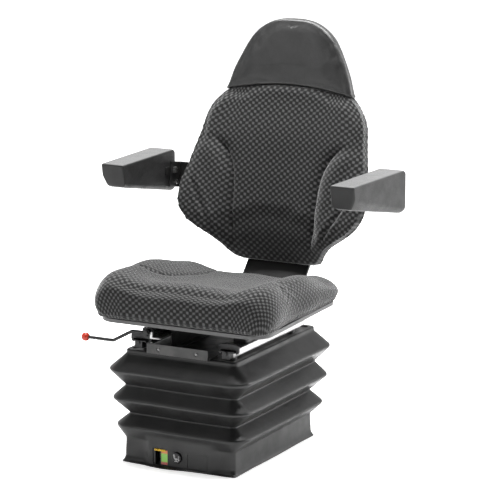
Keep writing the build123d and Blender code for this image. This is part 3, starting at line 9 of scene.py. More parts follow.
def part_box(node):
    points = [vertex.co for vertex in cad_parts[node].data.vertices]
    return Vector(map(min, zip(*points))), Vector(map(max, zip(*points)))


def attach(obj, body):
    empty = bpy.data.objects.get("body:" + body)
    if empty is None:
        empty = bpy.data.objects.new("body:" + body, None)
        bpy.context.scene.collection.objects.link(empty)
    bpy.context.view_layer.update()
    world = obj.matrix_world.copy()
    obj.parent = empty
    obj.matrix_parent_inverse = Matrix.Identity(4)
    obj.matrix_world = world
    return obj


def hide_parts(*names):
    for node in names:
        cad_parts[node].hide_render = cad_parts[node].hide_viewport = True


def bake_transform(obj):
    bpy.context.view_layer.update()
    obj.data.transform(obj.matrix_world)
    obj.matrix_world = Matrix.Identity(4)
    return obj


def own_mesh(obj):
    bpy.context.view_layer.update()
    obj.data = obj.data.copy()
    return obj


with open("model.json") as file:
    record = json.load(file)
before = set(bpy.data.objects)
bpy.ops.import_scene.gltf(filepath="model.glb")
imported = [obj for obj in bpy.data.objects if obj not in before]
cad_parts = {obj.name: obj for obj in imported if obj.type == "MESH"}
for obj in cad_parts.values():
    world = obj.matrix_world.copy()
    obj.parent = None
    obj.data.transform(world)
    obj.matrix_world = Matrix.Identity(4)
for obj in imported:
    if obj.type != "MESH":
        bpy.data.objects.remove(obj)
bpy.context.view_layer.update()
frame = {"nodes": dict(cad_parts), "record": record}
nodes = frame["nodes"]
scene = bpy.context.scene
scene.view_settings.view_transform = "Standard"
scene.view_settings.look = "None"

# Camera: it stands in front of the seat, a little to its left-hand side, and looks slightly down
AIM = Vector((0.0, 0.0, 0.5))
STAND, RISE, AWAY = math.radians(28.59), math.radians(12.07), 6.3145
LOOK_AZ, LOOK_EL = math.radians(27.90), math.radians(12.08)
LENS, SENSOR = 187.2, 36.0


def outlook(azimuth, elevation):
    """Unit vector from the seat towards a place around it, with azimuth 0 straight in front."""
    flat = math.cos(elevation)
    return Vector((math.sin(azimuth) * flat, -math.cos(azimuth) * flat, math.sin(elevation)))


camera = bpy.data.objects.new("camera", bpy.data.cameras.new("camera"))
scene.collection.objects.link(camera)
camera.location = AIM + AWAY * outlook(STAND, RISE)
camera.rotation_euler = (-outlook(LOOK_AZ, LOOK_EL)).to_track_quat("-Z", "Y").to_euler()
camera.data.lens = LENS
camera.data.sensor_width = SENSOR
camera.data.clip_end = 60.0
scene.camera = camera


# Material building
class Graph:
    """Small helper that adds and links shader nodes."""

    def __init__(self, node_tree):
        self.nt = node_tree

    def add(self, kind, **settings):
        node = self.nt.nodes.new(kind)
        for key, value in settings.items():
            setattr(node, key, value)
        return node

    def link(self, a, b):
        self.nt.links.new(a, b)

    def put(self, socket, value):
        if hasattr(value, "node"):
            self.link(value, socket)
        else:
            socket.default_value = value

    def math(self, op, a, b=0.0, c=None, clamp=False):
        node = self.add("ShaderNodeMath", operation=op, use_clamp=clamp)
        self.put(node.inputs[0], a)
        self.put(node.inputs[1], b)
        if c is not None:
            self.put(node.inputs[2], c)
        return node.outputs[0]

    def ramp(self, fac, low, high, a=0.0, b=1.0):
        node = self.add("ShaderNodeMapRange", interpolation_type="SMOOTHSTEP")
        self.put(node.inputs["Value"], fac)
        for key, value in (("From Min", low), ("From Max", high), ("To Min", a), ("To Max", b)):
            node.inputs[key].default_value = value
        return node.outputs["Result"]

    def split(self, vector):
        """The X, Y and Z outputs of a vector."""
        node = self.add("ShaderNodeSeparateXYZ")
        self.link(vector, node.inputs[0])
        return node.outputs

    def dot(self, a, b):
        node = self.add("ShaderNodeVectorMath", operation="DOT_PRODUCT")
        self.put(node.inputs[0], a)
        self.put(node.inputs[1], b)
        return node.outputs["Value"]

    def mix(self, fac, a, b):
        node = self.add("ShaderNodeMix", data_type="RGBA")
        self.put(node.inputs[0], fac)
        for socket, value in ((node.inputs[6], a), (node.inputs[7], b)):
            self.put(socket, value if hasattr(value, "node") else (*value, 1.0))
        return node.outputs[2]

    def mix_shaders(self, fac, a, b):
        node = self.add("ShaderNodeMixShader")
        self.link(fac, node.inputs[0])
        self.link(a, node.inputs[1])
        self.link(b, node.inputs[2])
        return node.outputs[0]


class Tree(Graph):
    """The nodes of one material around its Principled shader."""

    def __init__(self, name):
        self.mat = bpy.data.materials.new(name)
        self.mat.use_nodes = True
        super().__init__(self.mat.node_tree)
        self.bsdf = self.nt.nodes["Principled BSDF"]
        self.coord = self.nt.nodes.new("ShaderNodeTexCoord").outputs["Object"]

    def noise(self, scale, detail=3.0, rough=0.5, stretch=None):
        node = self.add("ShaderNodeTexNoise")
        node.inputs["Scale"].default_value = scale
        node.inputs["Detail"].default_value = detail
        node.inputs["Roughness"].default_value = rough
        source = self.coord
        if stretch:
            mapping = self.add("ShaderNodeMapping")
            mapping.inputs["Scale"].default_value = stretch
            self.link(source, mapping.inputs["Vector"])
            source = mapping.outputs[0]
        self.link(source, node.inputs["Vector"])
        return node.outputs["Fac"]

    def facing_up(self, low, high):
        """0 to 1 as the height of the face's normal goes from low to high."""
        return self.ramp(self.split(self.add("ShaderNodeNewGeometry").outputs["Normal"])["Z"], low, high)

    def bump(self, height, distance, strength=1.0, normal=None):
        node = self.add("ShaderNodeBump")
        node.inputs["Strength"].default_value = strength
        node.inputs["Distance"].default_value = distance
        self.link(height, node.inputs["Height"])
        if normal is not None:
            self.link(normal, node.inputs["Normal"])
        return node.outputs["Normal"]

    def wear(self, radius):
        """1 along sharp convex edges and 0 on flats, broken up by noise."""
        bevel = self.add("ShaderNodeBevel", samples=4)
        bevel.inputs["Radius"].default_value = radius
        geometry = self.add("ShaderNodeNewGeometry")
        alike = self.dot(bevel.outputs[0], geometry.outputs["Normal"])
        edge = self.ramp(self.math("SUBTRACT", 1.0, alike), 0.03, 0.22)
        return self.math("MULTIPLY", edge, self.ramp(self.noise(90.0), 0.38, 0.62)), bevel.outputs[0]

    def finish(self, colour, rough, normal=None, **constants):
        self.put(self.bsdf.inputs["Base Color"], colour if hasattr(colour, "node") else (*colour, 1.0))
        self.put(self.bsdf.inputs["Roughness"], rough)
        if normal is not None:
            self.link(normal, self.bsdf.inputs["Normal"])
        for key, value in constants.items():
            self.bsdf.inputs[key.replace("_", " ")].default_value = value
        return self.mat


def grey(v, warm=0.0):
    return (v * (1 + warm), v, v * (1 - warm))


def painted(name, tone, rough=0.42, edge_tone=0.16):
    """Black powder coat: fine orange peel, dust in patches and rubbed edges."""
    t = Tree(name)
    dust = t.ramp(t.noise(14.0, 5.0, 0.6), 0.45, 0.75)
    base = t.mix(dust, grey(tone), grey(tone * 1.7, 0.03))
    worn, rounded = t.wear(0.0012)
    base = t.mix(t.math("MULTIPLY", worn, 0.55), base, grey(edge_tone))
    roughness = t.ramp(t.noise(40.0, 3.0), 0.3, 0.7, rough - 0.06, rough + 0.1)
    return t.finish(base, roughness, t.bump(t.noise(900.0, 2.0), 0.00012, 0.5, rounded))


def two_tone(name, axis, low, high, tone, rough, metallic=0.0):
    """Black paint that turns to a lighter finish between two levels along an axis; faces that look down stay
    black as painted shade.
    """
    t = Tree(name)
    # Painted shade: faces that look down keep the black instead of the lighter finish
    light = t.math("MULTIPLY", t.ramp(t.dot(t.coord, axis), low, high), t.facing_up(-0.7, -0.4))
    streak = t.noise(120.0, 4.0, 0.6, stretch=(1.0, 0.1, 1.0))
    finish = t.mix(streak, grey(tone * 0.85), grey(tone * 1.1))
    worn, rounded = t.wear(0.0009)
    base = t.mix(light, grey(0.012), finish)
    base = t.mix(t.math("MULTIPLY", worn, 0.5), base, grey(min(1.0, tone * 1.6)))
    t.link(t.math("MULTIPLY", light, metallic), t.bsdf.inputs["Metallic"])
    roughness = t.ramp(streak, 0.25, 0.75, rough - 0.05, rough + 0.1)
    return t.finish(base, roughness, t.bump(streak, 0.00006, 0.4, rounded))


def metal(name, tone, rough, stretch=(1.0, 1.0, 1.0), warm=0.0):
    """Zinc-plated or bare steel: drawn streaks, faint stains and bright edges."""
    t = Tree(name)
    streak = t.noise(160.0, 4.0, 0.6, stretch=stretch)
    stain = t.ramp(t.noise(22.0, 4.0), 0.35, 0.75)
    base = t.mix(streak, grey(tone * 0.86, warm), grey(tone * 1.08, warm))
    base = t.mix(t.math("MULTIPLY", stain, 0.45), base, grey(tone * 0.6, 0.04))
    worn, rounded = t.wear(0.0008)
    base = t.mix(t.math("MULTIPLY", worn, 0.6), base, grey(min(1.0, tone * 1.3)))
    roughness = t.ramp(streak, 0.25, 0.75, rough - 0.08, rough + 0.1)
    return t.finish(base, roughness, t.bump(streak, 0.00006, 0.4, rounded), Metallic=1.0)


def plastic(name, colour, rough, grain=600.0, depth=0.00012, variation=0.25, **constants):
    """Moulded plastic: fine grain, slight flow marks and rounded edges."""
    t = Tree(name)
    flow = t.noise(18.0, 4.0, 0.55)
    darker = tuple(c * (1 - variation) for c in colour)
    lighter = tuple(min(1.0, c * (1 + variation)) for c in colour)
    base = t.mix(flow, darker, lighter)
    worn, rounded = t.wear(0.001)
    base = t.mix(t.math("MULTIPLY", worn, 0.3), base, tuple(min(1.0, c * 1.8 + 0.02) for c in colour))
    roughness = t.ramp(flow, 0.25, 0.75, rough - 0.05, rough + 0.08)
    return t.finish(base, roughness, t.bump(t.noise(grain, 3.0), depth, 0.6, rounded), **constants)


def rubber_skin(name, tone, rough=0.46):
    """Blow-moulded rubber: soft paler clouds on faces that look up, partly dust and partly painted sheen, and
    scuffs.
    """
    t = Tree(name)
    cloud = t.ramp(t.noise(9.0, 5.0, 0.6), 0.3, 0.8)
    # Painted sheen mixed with dust: faces that look up turn paler in soft clouds
    dust_and_sheen = t.math("MULTIPLY", t.facing_up(-0.2, 0.9), cloud)
    base = t.mix(dust_and_sheen, grey(tone * 0.85), grey(tone * 1.6))
    scuff = t.ramp(t.noise(34.0, 4.0, 0.6, stretch=(1.0, 1.0, 0.25)), 0.58, 0.85)
    base = t.mix(t.math("MULTIPLY", scuff, 0.35), base, grey(tone * 2.6))
    roughness = t.ramp(t.noise(30.0, 4.0), 0.3, 0.7, rough - 0.06, rough + 0.1)
    return t.finish(base, roughness, t.bump(t.noise(22.0, 2.0), 0.0010, 0.25))


# Pitches of the cloth's dashes and of its threads
DASH_ACROSS, DASH_ALONG = 0.0174, 0.0150
WARP, WEFT = 0.0011, 0.0013


def woven(name):
    """Black seat cloth with small upright pale dashes set in alternate rows, and a fine thread."""
    t = Tree(name)
    wobble = t.add("ShaderNodeTexNoise", noise_dimensions="3D")
    wobble.inputs["Scale"].default_value = 14.0
    t.link(t.coord, wobble.inputs["Vector"])
    shift = t.add("ShaderNodeVectorMath", operation="MULTIPLY_ADD")
    t.link(wobble.outputs["Color"], shift.inputs[0])
    shift.inputs[1].default_value = (0.003, 0.003, 0.0)
    t.link(t.add("ShaderNodeAttribute", attribute_name="weave").outputs["Vector"], shift.inputs[2])
    place = t.split(shift.outputs[0])
    across = t.math("MULTIPLY", place["X"], 2 * math.pi / DASH_ACROSS)
    along = t.math("MULTIPLY", place["Y"], 2 * math.pi / DASH_ALONG)
    rising, falling = t.math("ADD", across, along), t.math("SUBTRACT", across, along)
    twill = t.math("COSINE", t.math("MULTIPLY_ADD", falling, 0.5, rising))
    squares = t.math("ADD", t.math("COSINE", rising), t.math("COSINE", falling))
    dash = t.ramp(t.math("MULTIPLY_ADD", twill, 0.30, squares), -0.7, 1.9)
    warp = t.math("SINE", t.math("MULTIPLY", place["X"], 2 * math.pi / WARP))
    weft = t.math("SINE", t.math("MULTIPLY", place["Y"], 2 * math.pi / WEFT))
    thread = t.math("MULTIPLY", warp, weft)
    fleck = t.noise(420.0, 2.0)
    dark = t.mix(fleck, grey(0.010), grey(0.024))
    pale = t.mix(fleck, grey(0.085), grey(0.17))
    raised = t.bump(dash, 0.0006, 0.4, t.bump(thread, 0.00018, 0.5))
    return t.finish(t.mix(dash, dark, pale), t.ramp(fleck, 0.3, 0.7, 0.82, 0.95), raised, Sheen_Weight=1.0,
                    Sheen_Roughness=0.30, Sheen_Tint=(0.85, 0.85, 0.85, 1.0), Specular_IOR_Level=0.2)


def leather(name, tone, rough=0.45, cell=420.0, mottle=0.5, painted_top_light=0.0, **constants):
    """Coated cloth or foam skin with a pebbled grain and cloudy gloss, made paler where it faces up as painted
    light.
    """
    t = Tree(name)
    grain = t.add("ShaderNodeTexVoronoi", feature="DISTANCE_TO_EDGE")
    grain.inputs["Scale"].default_value = cell
    t.link(t.coord, grain.inputs["Vector"])
    pebble = t.ramp(grain.outputs["Distance"], 0.0, 0.25)
    cloud = t.noise(24.0, 6.0, 0.65)
    base = t.mix(cloud, grey(tone * (1 - mottle)), grey(tone * (1 + mottle)))
    base = t.mix(t.math("MULTIPLY", t.math("SUBTRACT", 1.0, pebble), 0.4), base, grey(tone * 0.4))
    # Painted light: faces that look up are mixed towards pale grey by the given share
    base = t.mix(t.math("MULTIPLY", t.facing_up(0.55, 0.95), painted_top_light), base, grey(0.16))
    roughness = t.ramp(cloud, 0.3, 0.7, rough - 0.07, rough + 0.1)
    fine = t.bump(pebble, 0.0002, 0.3)
    return t.finish(base, roughness, t.bump(t.noise(70.0, 4.0), 0.0006, 0.25, fine), **constants)


def scale_print(name, low, high):
    """Generic height scale: red at both ends and green between."""
    t = Tree(name)
    height = t.math("DIVIDE", t.math("SUBTRACT", t.split(t.coord)["Z"], low), high - low, clamp=True)
    ramp = t.add("ShaderNodeValToRGB")
    ramp.color_ramp.interpolation = "EASE"
    stops = ramp.color_ramp.elements
    stops[0].position, stops[0].color = 0.0, (0.55, 0.03, 0.03, 1)
    stops[1].position, stops[1].color = 1.0, (0.75, 0.12, 0.02, 1)
    for place, colour in ((0.13, (0.55, 0.04, 0.03, 1)), (0.22, (0.30, 0.78, 0.08, 1)),
                          (0.70, (0.34, 0.80, 0.10, 1)), (0.82, (0.80, 0.20, 0.02, 1))):
        stop = stops.new(place)
        stop.color = colour
    t.link(height, ramp.inputs[0])
    speck = t.mix(t.math("MULTIPLY", t.noise(300.0), 0.25), ramp.outputs[0], (0.9, 0.9, 0.8))
    return t.finish(speck, t.ramp(t.noise(60.0), 0.3, 0.7, 0.3, 0.45))


# Materials: the number after a name is the tone, then comes the roughness
PAINT = painted("black_paint", 0.012, 0.38)
PLATE = painted("plate_paint", 0.050, 0.45, 0.2)
PAN_TILT = -0.0282
# The pan and the rails get painted shade on their undersides
BAND = two_tone("pan_paint", (0.0, PAN_TILT, 1.0), 0.3362, 0.3397, 0.11, 0.34)
RAIL = two_tone("rail_zinc", (0.0, 1.0, 0.0), -0.170, -0.168, 0.62, 0.34, 1.0)
STEEL = metal("dark_steel", 0.22, 0.35)
ZINC = metal("zinc", 0.62, 0.34, (1.0, 0.05, 1.0))
BOLT = metal("bolt_steel", 0.70, 0.28)
RUBBER = rubber_skin("rubber", 0.0115, 0.36)
DARK = plastic("dark_plastic", (0.016, 0.016, 0.017), 0.40)
RED = plastic("red_plastic", (0.62, 0.045, 0.02), 0.28, depth=0.00003)
YELLOW = plastic("yellow_plastic", (0.95, 0.52, 0.02), 0.35, depth=0.00003)
ALLOY = metal("cast_alloy", 0.5, 0.5)
CLOTH = woven("seat_cloth")
VINYL = leather("vinyl", 0.034, 0.36, 480.0, 0.75, 0.0, Coat_Weight=0.35, Coat_Roughness=0.32)
# The foam's 0.85 share paints light onto the armrest tops, where they face up
FOAM = leather("foam_skin", 0.013, 0.50, 620.0, 0.30, 0.85, Sheen_Weight=0.25, Sheen_Roughness=0.25)
SYMBOL = plastic("symbol_print", (0.80, 0.80, 0.80), 0.5, depth=0.00002)
scale_low, scale_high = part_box("height_scale")
SCALE = scale_print("scale_print", scale_low.z, scale_high.z)

by_slot = {"bellows_rubber": RUBBER, "black_steel": PAINT, "zinc_steel": ZINC, "fastener_steel": BOLT,
           "seat_fabric": CLOTH, "extension_vinyl": VINYL, "arm_foam": FOAM, "dark_plastic": DARK,
           "red_plastic": RED, "yellow_plastic": YELLOW, "scale_film": SCALE, "cast_alloy": ALLOY}
body_of = {node: body for body, held in frame["record"]["behaviour"]["bodies"].items() for node in held}
slot_of = {entry["node"]: entry["material_slot"] for entry in frame["record"]["subparts"]}
special = {"front_plate": PLATE, "front_bolts": STEEL, "lock_rack": PAINT, "lower_rail_left": RAIL,
           "lower_rail_right": RAIL, "seat_pan": BAND, "control_panel": RUBBER}
for name, node in nodes.items():
    mat = special.get(name, by_slot[slot_of[name]])
    if not node.material_slots:
        node.data.materials.append(mat)
    for held in node.material_slots:
        held.material = mat


# Mesh helpers
def vertex_values(obj, name):
    out = np.empty(len(obj.data.vertices) * 3, np.float64)
    obj.data.vertices.foreach_get(name, out)
    return out.reshape(-1, 3)


def coords(obj):
    return vertex_values(obj, "co")


def normals(obj):
    return vertex_values(obj, "normal")


def set_coords(obj, points):
    obj.data.vertices.foreach_set("co", points.astype(np.float32).ravel())
    obj.data.update()


def make(name, points, faces, mat):
    mesh = bpy.data.meshes.new(name)
    mesh.from_pydata([tuple(p) for p in points], [], faces)
    mesh.update()
    obj = bpy.data.objects.new(name, mesh)
    scene.collection.objects.link(obj)
    mesh.materials.append(mat)
    for poly in mesh.polygons:
        poly.use_smooth = True
    return obj


def baked(obj):
    """The object's mesh with its modifiers applied."""
    graph = bpy.context.evaluated_depsgraph_get()
    mesh = bpy.data.meshes.new_from_object(obj.evaluated_get(graph), depsgraph=graph)
    obj.modifiers.clear()
    old = obj.data
    obj.data = mesh
    bpy.data.meshes.remove(old)
    for poly in mesh.polygons:
        poly.use_smooth = True
    return obj


def modified(obj, kind, **settings):
    mod = obj.modifiers.new(kind.lower(), kind)
    for key, value in settings.items():
        setattr(mod, key, value)
    return baked(obj)


def soft_copy(node_name, name, mat, voxel, smooth=6):
    """Even quad skin over a CAD solid, softened at its edges."""
    mesh = nodes[node_name].data.copy()
    mesh.name = name
    obj = bpy.data.objects.new(name, mesh)
    scene.collection.objects.link(obj)
    mesh.materials.clear()
    mesh.materials.append(mat)
    modified(obj, "REMESH", mode="VOXEL", voxel_size=voxel, use_smooth_shade=True)
    return modified(obj, "SMOOTH", factor=0.5, iterations=smooth)


CLOTH_FRAMES = 20


def swell(obj, pressure, cap, held):
    """Blows the skin out by up to cap with a cloth run, holding the vertices marked in held."""
    start = coords(obj)
    group = obj.vertex_groups.new(name="held")
    group.add([int(i) for i in np.nonzero(held)[0]], 1.0, "REPLACE")
    mod = obj.modifiers.new("cloth", "CLOTH")
    cloth = mod.settings
    cloth.quality = 4
    cloth.mass = 0.3
    cloth.tension_stiffness = cloth.compression_stiffness = 30
    cloth.shear_stiffness = 12
    cloth.bending_stiffness = 2.0
    cloth.use_pressure = True
    cloth.uniform_pressure_force = pressure
    cloth.vertex_group_mass = "held"
    cloth.effector_weights.gravity = 0
    mod.point_cache.frame_start, mod.point_cache.frame_end = 1, CLOTH_FRAMES
    for number in range(1, CLOTH_FRAMES + 1):
        scene.frame_set(number)
    graph = bpy.context.evaluated_depsgraph_get()
    result = obj.evaluated_get(graph).to_mesh()
    end = np.array([v.co for v in result.vertices])
    obj.modifiers.remove(mod)
    scene.frame_set(1)
    outward = normals(obj)
    grown = np.clip(((end - start) * outward).sum(1), -0.001, cap)
    set_coords(obj, start + outward * grown[:, None])
    obj.vertex_groups.clear()


def refine(obj):
    """One round of subdivision."""
    return modified(obj, "SUBSURF", levels=1, render_levels=1, subdivision_type="CATMULL_CLARK")


def weave(obj, uv):
    """Stores where each vertex lies on the flat cloth."""
    layer = obj.data.attributes.new("weave", "FLOAT_VECTOR", "POINT")
    out = np.zeros((len(uv), 3), np.float32)
    out[:, :2] = uv
    layer.data.foreach_set("vector", out.ravel())


def bell(distance, width):
    """1 at the middle of a hump, falling to 0 a little past width."""
    return np.exp(-(distance / width) ** 2)


def step(value, low, high):
    """Smooth rise from 0 at low to 1 at high."""
    t = np.clip((value - low) / (high - low), 0, 1)
    return t * t * (3 - 2 * t)


def line_distance(px, py, line):
    """Distance of points to a polyline, and the signed side (positive to the left of its run)."""
    best = np.full(px.shape, 1e9)
    side = np.zeros(px.shape)
    for (ax, ay), (bx, by) in zip(line, line[1:]):
        dx, dy = bx - ax, by - ay
        t = np.clip(((px - ax) * dx + (py - ay) * dy) / (dx * dx + dy * dy), 0, 1)
        qx, qy = px - ax - t * dx, py - ay - t * dy
        d = np.hypot(qx, qy)
        near = d < best
        best[near] = d[near]
        side[near] = np.sign(dx * qy - dy * qx)[near]
    return best, side


def rounded(points, steps=4):
    """A polyline made smooth by cutting its corners."""
    for _ in range(steps):
        out = [points[0]]
        for a, b in zip(points, points[1:]):
            out.append(tuple(0.75 * p + 0.25 * q for p, q in zip(a, b)))
            out.append(tuple(0.25 * p + 0.75 * q for p, q in zip(a, b)))
        out.append(points[-1])
        points = out
    return points


def blown(obj, hold, inset, pressure, cap):
    """Draws the free part of a skin in a little, then lets cloth blow it out again."""
    set_coords(obj, coords(obj) - normals(obj) * (inset * ~hold)[:, None])
    swell(obj, pressure, cap, hold)


# Seat cushion: its skin is held below the level where it sits in the pan
SEAT_HOLD_Z, SEAT_HOLD_TILT = 0.363, 0.028
SEAT_CREST_Z = 0.444
SEAT_CORE_X, SEAT_CORE_FRONT, SEAT_CORE_REAR = 0.150, -0.130, 0.100
seat = soft_copy("seat_cushion", "seat_cushion_cover", CLOTH, 0.006, 5)
p = coords(seat)
blown(seat, p[:, 2] < SEAT_HOLD_Z + SEAT_HOLD_TILT * p[:, 1], 0.004, 4.0, 0.007)
refine(seat)
p = coords(seat)
n = normals(seat)
ax = np.abs(p[:, 0])
top = step(n[:, 2], 0.25, 0.7)
brow = 0.007 * bell(p[:, 1] + 0.150, 0.040) * (1 - step(ax, 0.05, 0.17)) * step(n[:, 2], 0.2, 0.7)
seam = rounded([(0.252, -0.040), (0.205, -0.066), (0.160, -0.062), (0.134, -0.020), (0.126, 0.05),
                (0.108, 0.13), (0.100, 0.21)])
d, _ = line_distance(ax, p[:, 1], seam)
pinch = -0.0035 * bell(d, 0.0032) - 0.0020 * bell(d, 0.010)
fade = (1 - step(ax, 0.168, 0.205)) * (1 - 0.5 * step(p[:, 1], 0.08, 0.17))
rise = top * pinch * fade
set_coords(seat, p + n * rise[:, None] + brow[:, None] * (0.0, 0.0, 1.0))
# The weave runs flat over the top, then down the sides square to the rounded outline
core = p[:, :2].clip((-SEAT_CORE_X, SEAT_CORE_FRONT), (SEAT_CORE_X, SEAT_CORE_REAR))
out = p[:, :2] - core
reach = np.linalg.norm(out, axis=1)
drop = np.maximum(0.0, SEAT_CREST_Z - p[:, 2]) * step(reach, 0.055, 0.092)
weave(seat, core + out * ((reach + drop) / np.maximum(reach, 1e-6))[:, None])
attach(seat, "seat")
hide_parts("seat_cushion")

# Backrest: it leans back from a foot behind the cushion
LEAN = math.radians(9.3)
UP = np.array([0.0, math.sin(LEAN), math.cos(LEAN)])
REAR = np.array([0.0, math.cos(LEAN), -math.sin(LEAN)])
FOOT = np.array([0.0, 0.311, 0.404])


def back_coords(points):
    """x, height up the back and depth to the rear."""
    q = points - FOOT
    return q[:, 0], q @ UP, q @ REAR


def rim_at(ax, s):
    """Half-width of the piece at each height."""
    marks = np.arange(s.min(), s.max() + 0.006, 0.006)
    slot = np.digitize(s, marks)
    widest = np.array([ax[slot == i].max() if np.any(slot == i) else 0.0 for i in range(len(marks) + 1)])
    return np.maximum(np.interp(s, marks - 0.003, widest[:-1]), 0.05)


back = soft_copy("backrest_cushion", "backrest_cover", CLOTH, 0.006, 4)
blown(back, normals(back) @ REAR > 0.3, 0.004, 4.0, 0.008)
refine(back)
p = coords(back)
n = normals(back)
x, s, depth = back_coords(p)
ax = np.abs(x)
front = step(-(n @ REAR), 0.35, 0.75)
edge = ax / rim_at(ax, s)
crease = rounded([(0.190, 0.325), (0.166, 0.303), (0.142, 0.276), (0.124, 0.235), (0.117, 0.180),
                  (0.115, 0.110), (0.108, 0.045)])
d, side = line_distance(ax, s, crease)
# The crease dies out before the edge at its top and towards its foot
reach = step(s, 0.020, 0.10) * (1 - step(s, 0.280, 0.322))
cut = -0.0070 * bell(d, 0.0055) - 0.0060 * bell(d, 0.018)
lobe = np.where(side > 0, 0.008 * bell(d - 0.038, 0.030), 0.0) * (1 - step(edge, 0.74, 0.92))
ridge = rounded([(0.238, 0.225), (0.205, 0.160), (0.172, 0.105), (0.140, 0.050)])
d, _ = line_distance(ax, s, ridge)
trim = 0.0025 * bell(d - 0.010, 0.008) - 0.0045 * bell(d, 0.0070)
trim *= step(s, 0.05, 0.09) * (1 - step(s, 0.18, 0.22)) * (1 - step(edge, 0.84, 0.95))
rise = front * (reach * (cut + lobe) + trim)
shoulder = 0.011 * bell(s - 0.372, 0.055) * step(ax, 0.13, 0.20) * (1 - step(depth, -0.01, 0.02))
sink = (0.0030 + 0.08 * x * x) * step(s, 0.395, 0.455)
outward = (np.sign(x) * shoulder)[:, None] * (1.0, 0.0, 0.0)
set_coords(back, p + n * rise[:, None] - UP * sink[:, None] + outward)
wrap = np.clip((depth + 0.06) / 0.05, 0, 1) * np.clip((ax - 0.12) / 0.04, 0, 1)
weave(back, np.stack([x + np.sign(x) * wrap * (depth + 0.06), s], 1))
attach(back, "backrest")
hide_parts("backrest_cushion")

# Backrest extension: its foot is arched, and a sewn line runs inside its rim
FOOT_S, FOOT_ARCH = 0.462, 0.62
head = soft_copy("extension_pad", "extension_cover", VINYL, 0.005, 16)
x, s, depth = back_coords(coords(head))
blown(head, (s < 0.452 + 0.02 * (1 - (x / 0.18) ** 2)) | (normals(head) @ REAR > 0.8), 0.002, 3.0, 0.005)
refine(head)
p = coords(head)
n = normals(head)
x, s, depth = back_coords(p)
ax = np.abs(x)
foot_line = FOOT_S - FOOT_ARCH * x * x
hang = (0.0095 + 0.10 * x * x) * (1 - step(s - foot_line, 0.004, 0.045))
flank = 0.0045 * step(ax / rim_at(ax, s), 0.6, 1.0) * step(ax, 0.06, 0.12)
rim = rounded([(0.158, 0.430), (0.138, 0.500), (0.115, 0.545), (0.092, 0.578), (0.054, 0.602), (0.0, 0.608)])
d, _ = line_distance(ax, s, rim)
front = step(-(n @ REAR), 0.3, 0.7)
groove = front * -0.0010 * bell(d, 0.005) * step(ax, 0.03, 0.08)
outward = (np.sign(x) * flank)[:, None] * (1.0, 0.0, 0.0)
set_coords(head, p + n * groove[:, None] - UP * hang[:, None] + outward)
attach(head, "extension")
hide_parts("extension_pad")


# Armrests
def rounded_section(corners, inset, radius, steps=5):
    """A convex outline that runs clockwise, moved in by inset and with its corners rounded."""
    count = len(corners)
    corners = [Vector(c) for c in corners]
    ways = [(corners[(i + 1) % count] - corners[i]).normalized() for i in range(count)]
    starts = [c + inset * Vector((way.y, -way.x)) for c, way in zip(corners, ways)]
    moved = []
    for i in range(count):
        a, da, b, db = starts[i - 1], ways[i - 1], starts[i], ways[i]
        moved.append(a + da * ((b - a).cross(db) / da.cross(db)))
    out = []
    for i in range(count):
        here, before, after = moved[i], moved[i - 1] - moved[i], moved[(i + 1) % count] - moved[i]
        cut = min(radius, 0.45 * before.length, 0.45 * after.length)
        a, b = here + before.normalized() * cut, here + after.normalized() * cut
        for t in np.linspace(0, 1, steps):
            out.append((1 - t) ** 2 * a + 2 * t * (1 - t) * here + t * t * b)
    return out


ARM_FRONT, ARM_REAR, ARM_TOP = 0.0245, 0.2995, 0.6795
ARM_LEAN, ARM_LEAN_DEPTH = 0.011, 0.0255
ARM_TURN, ARM_EDGE, ARM_CORNER = 0.015, 0.005, 0.006


def arm_stations():
    """Places along the pad with the inset of each section: both ends are turned over through a small radius."""
    turns = np.radians(range(0, 91, 18))
    turned = [(ARM_EDGE * (1 - math.cos(a)), ARM_EDGE * (1 - math.sin(a))) for a in turns]
    middle = [0.05, 0.10, 0.16, 0.22, 0.27] + [ARM_REAR - ahead for ahead in (ARM_TURN, 0.011, 0.0075)]
    return ([(ARM_FRONT + y, inset) for y, inset in turned] + [(y, 0.0) for y in middle]
            + [(ARM_REAR - y, inset) for y, inset in reversed(turned)])


def arm_section(y, inset):
    """Outline of the pad at a place along it, which gets deeper and wider to the rear, where its ends drop."""
    t = (y - ARM_FRONT) / (ARM_REAR - ARM_FRONT)
    inner, outer, low = 0.2845 + 0.006 * t, 0.3485 + 0.011 * t, 0.6225 - 0.053 * t
    wide, high = 0.012 - 0.002 * t, 0.026 - 0.016 * t
    past = max(0.0, y - (ARM_REAR - ARM_TURN))
    fall = ARM_TURN - math.sqrt(max(0.0, ARM_TURN ** 2 - past ** 2))
    top, foot = ARM_TOP - fall, low + 0.5 * fall
    corners = [(inner, top), (outer, top), (outer, foot + high), (outer - wide, foot), (inner + 0.006, foot),
               (inner, foot + 0.008)]
    lean = ARM_LEAN * max(0.0, 1 - (y - ARM_FRONT) / ARM_LEAN_DEPTH)
    outline = rounded_section(corners, inset, ARM_CORNER)
    return [(x, y + lean * (ARM_TOP - z) / (ARM_TOP - low), z) for x, z in outline]


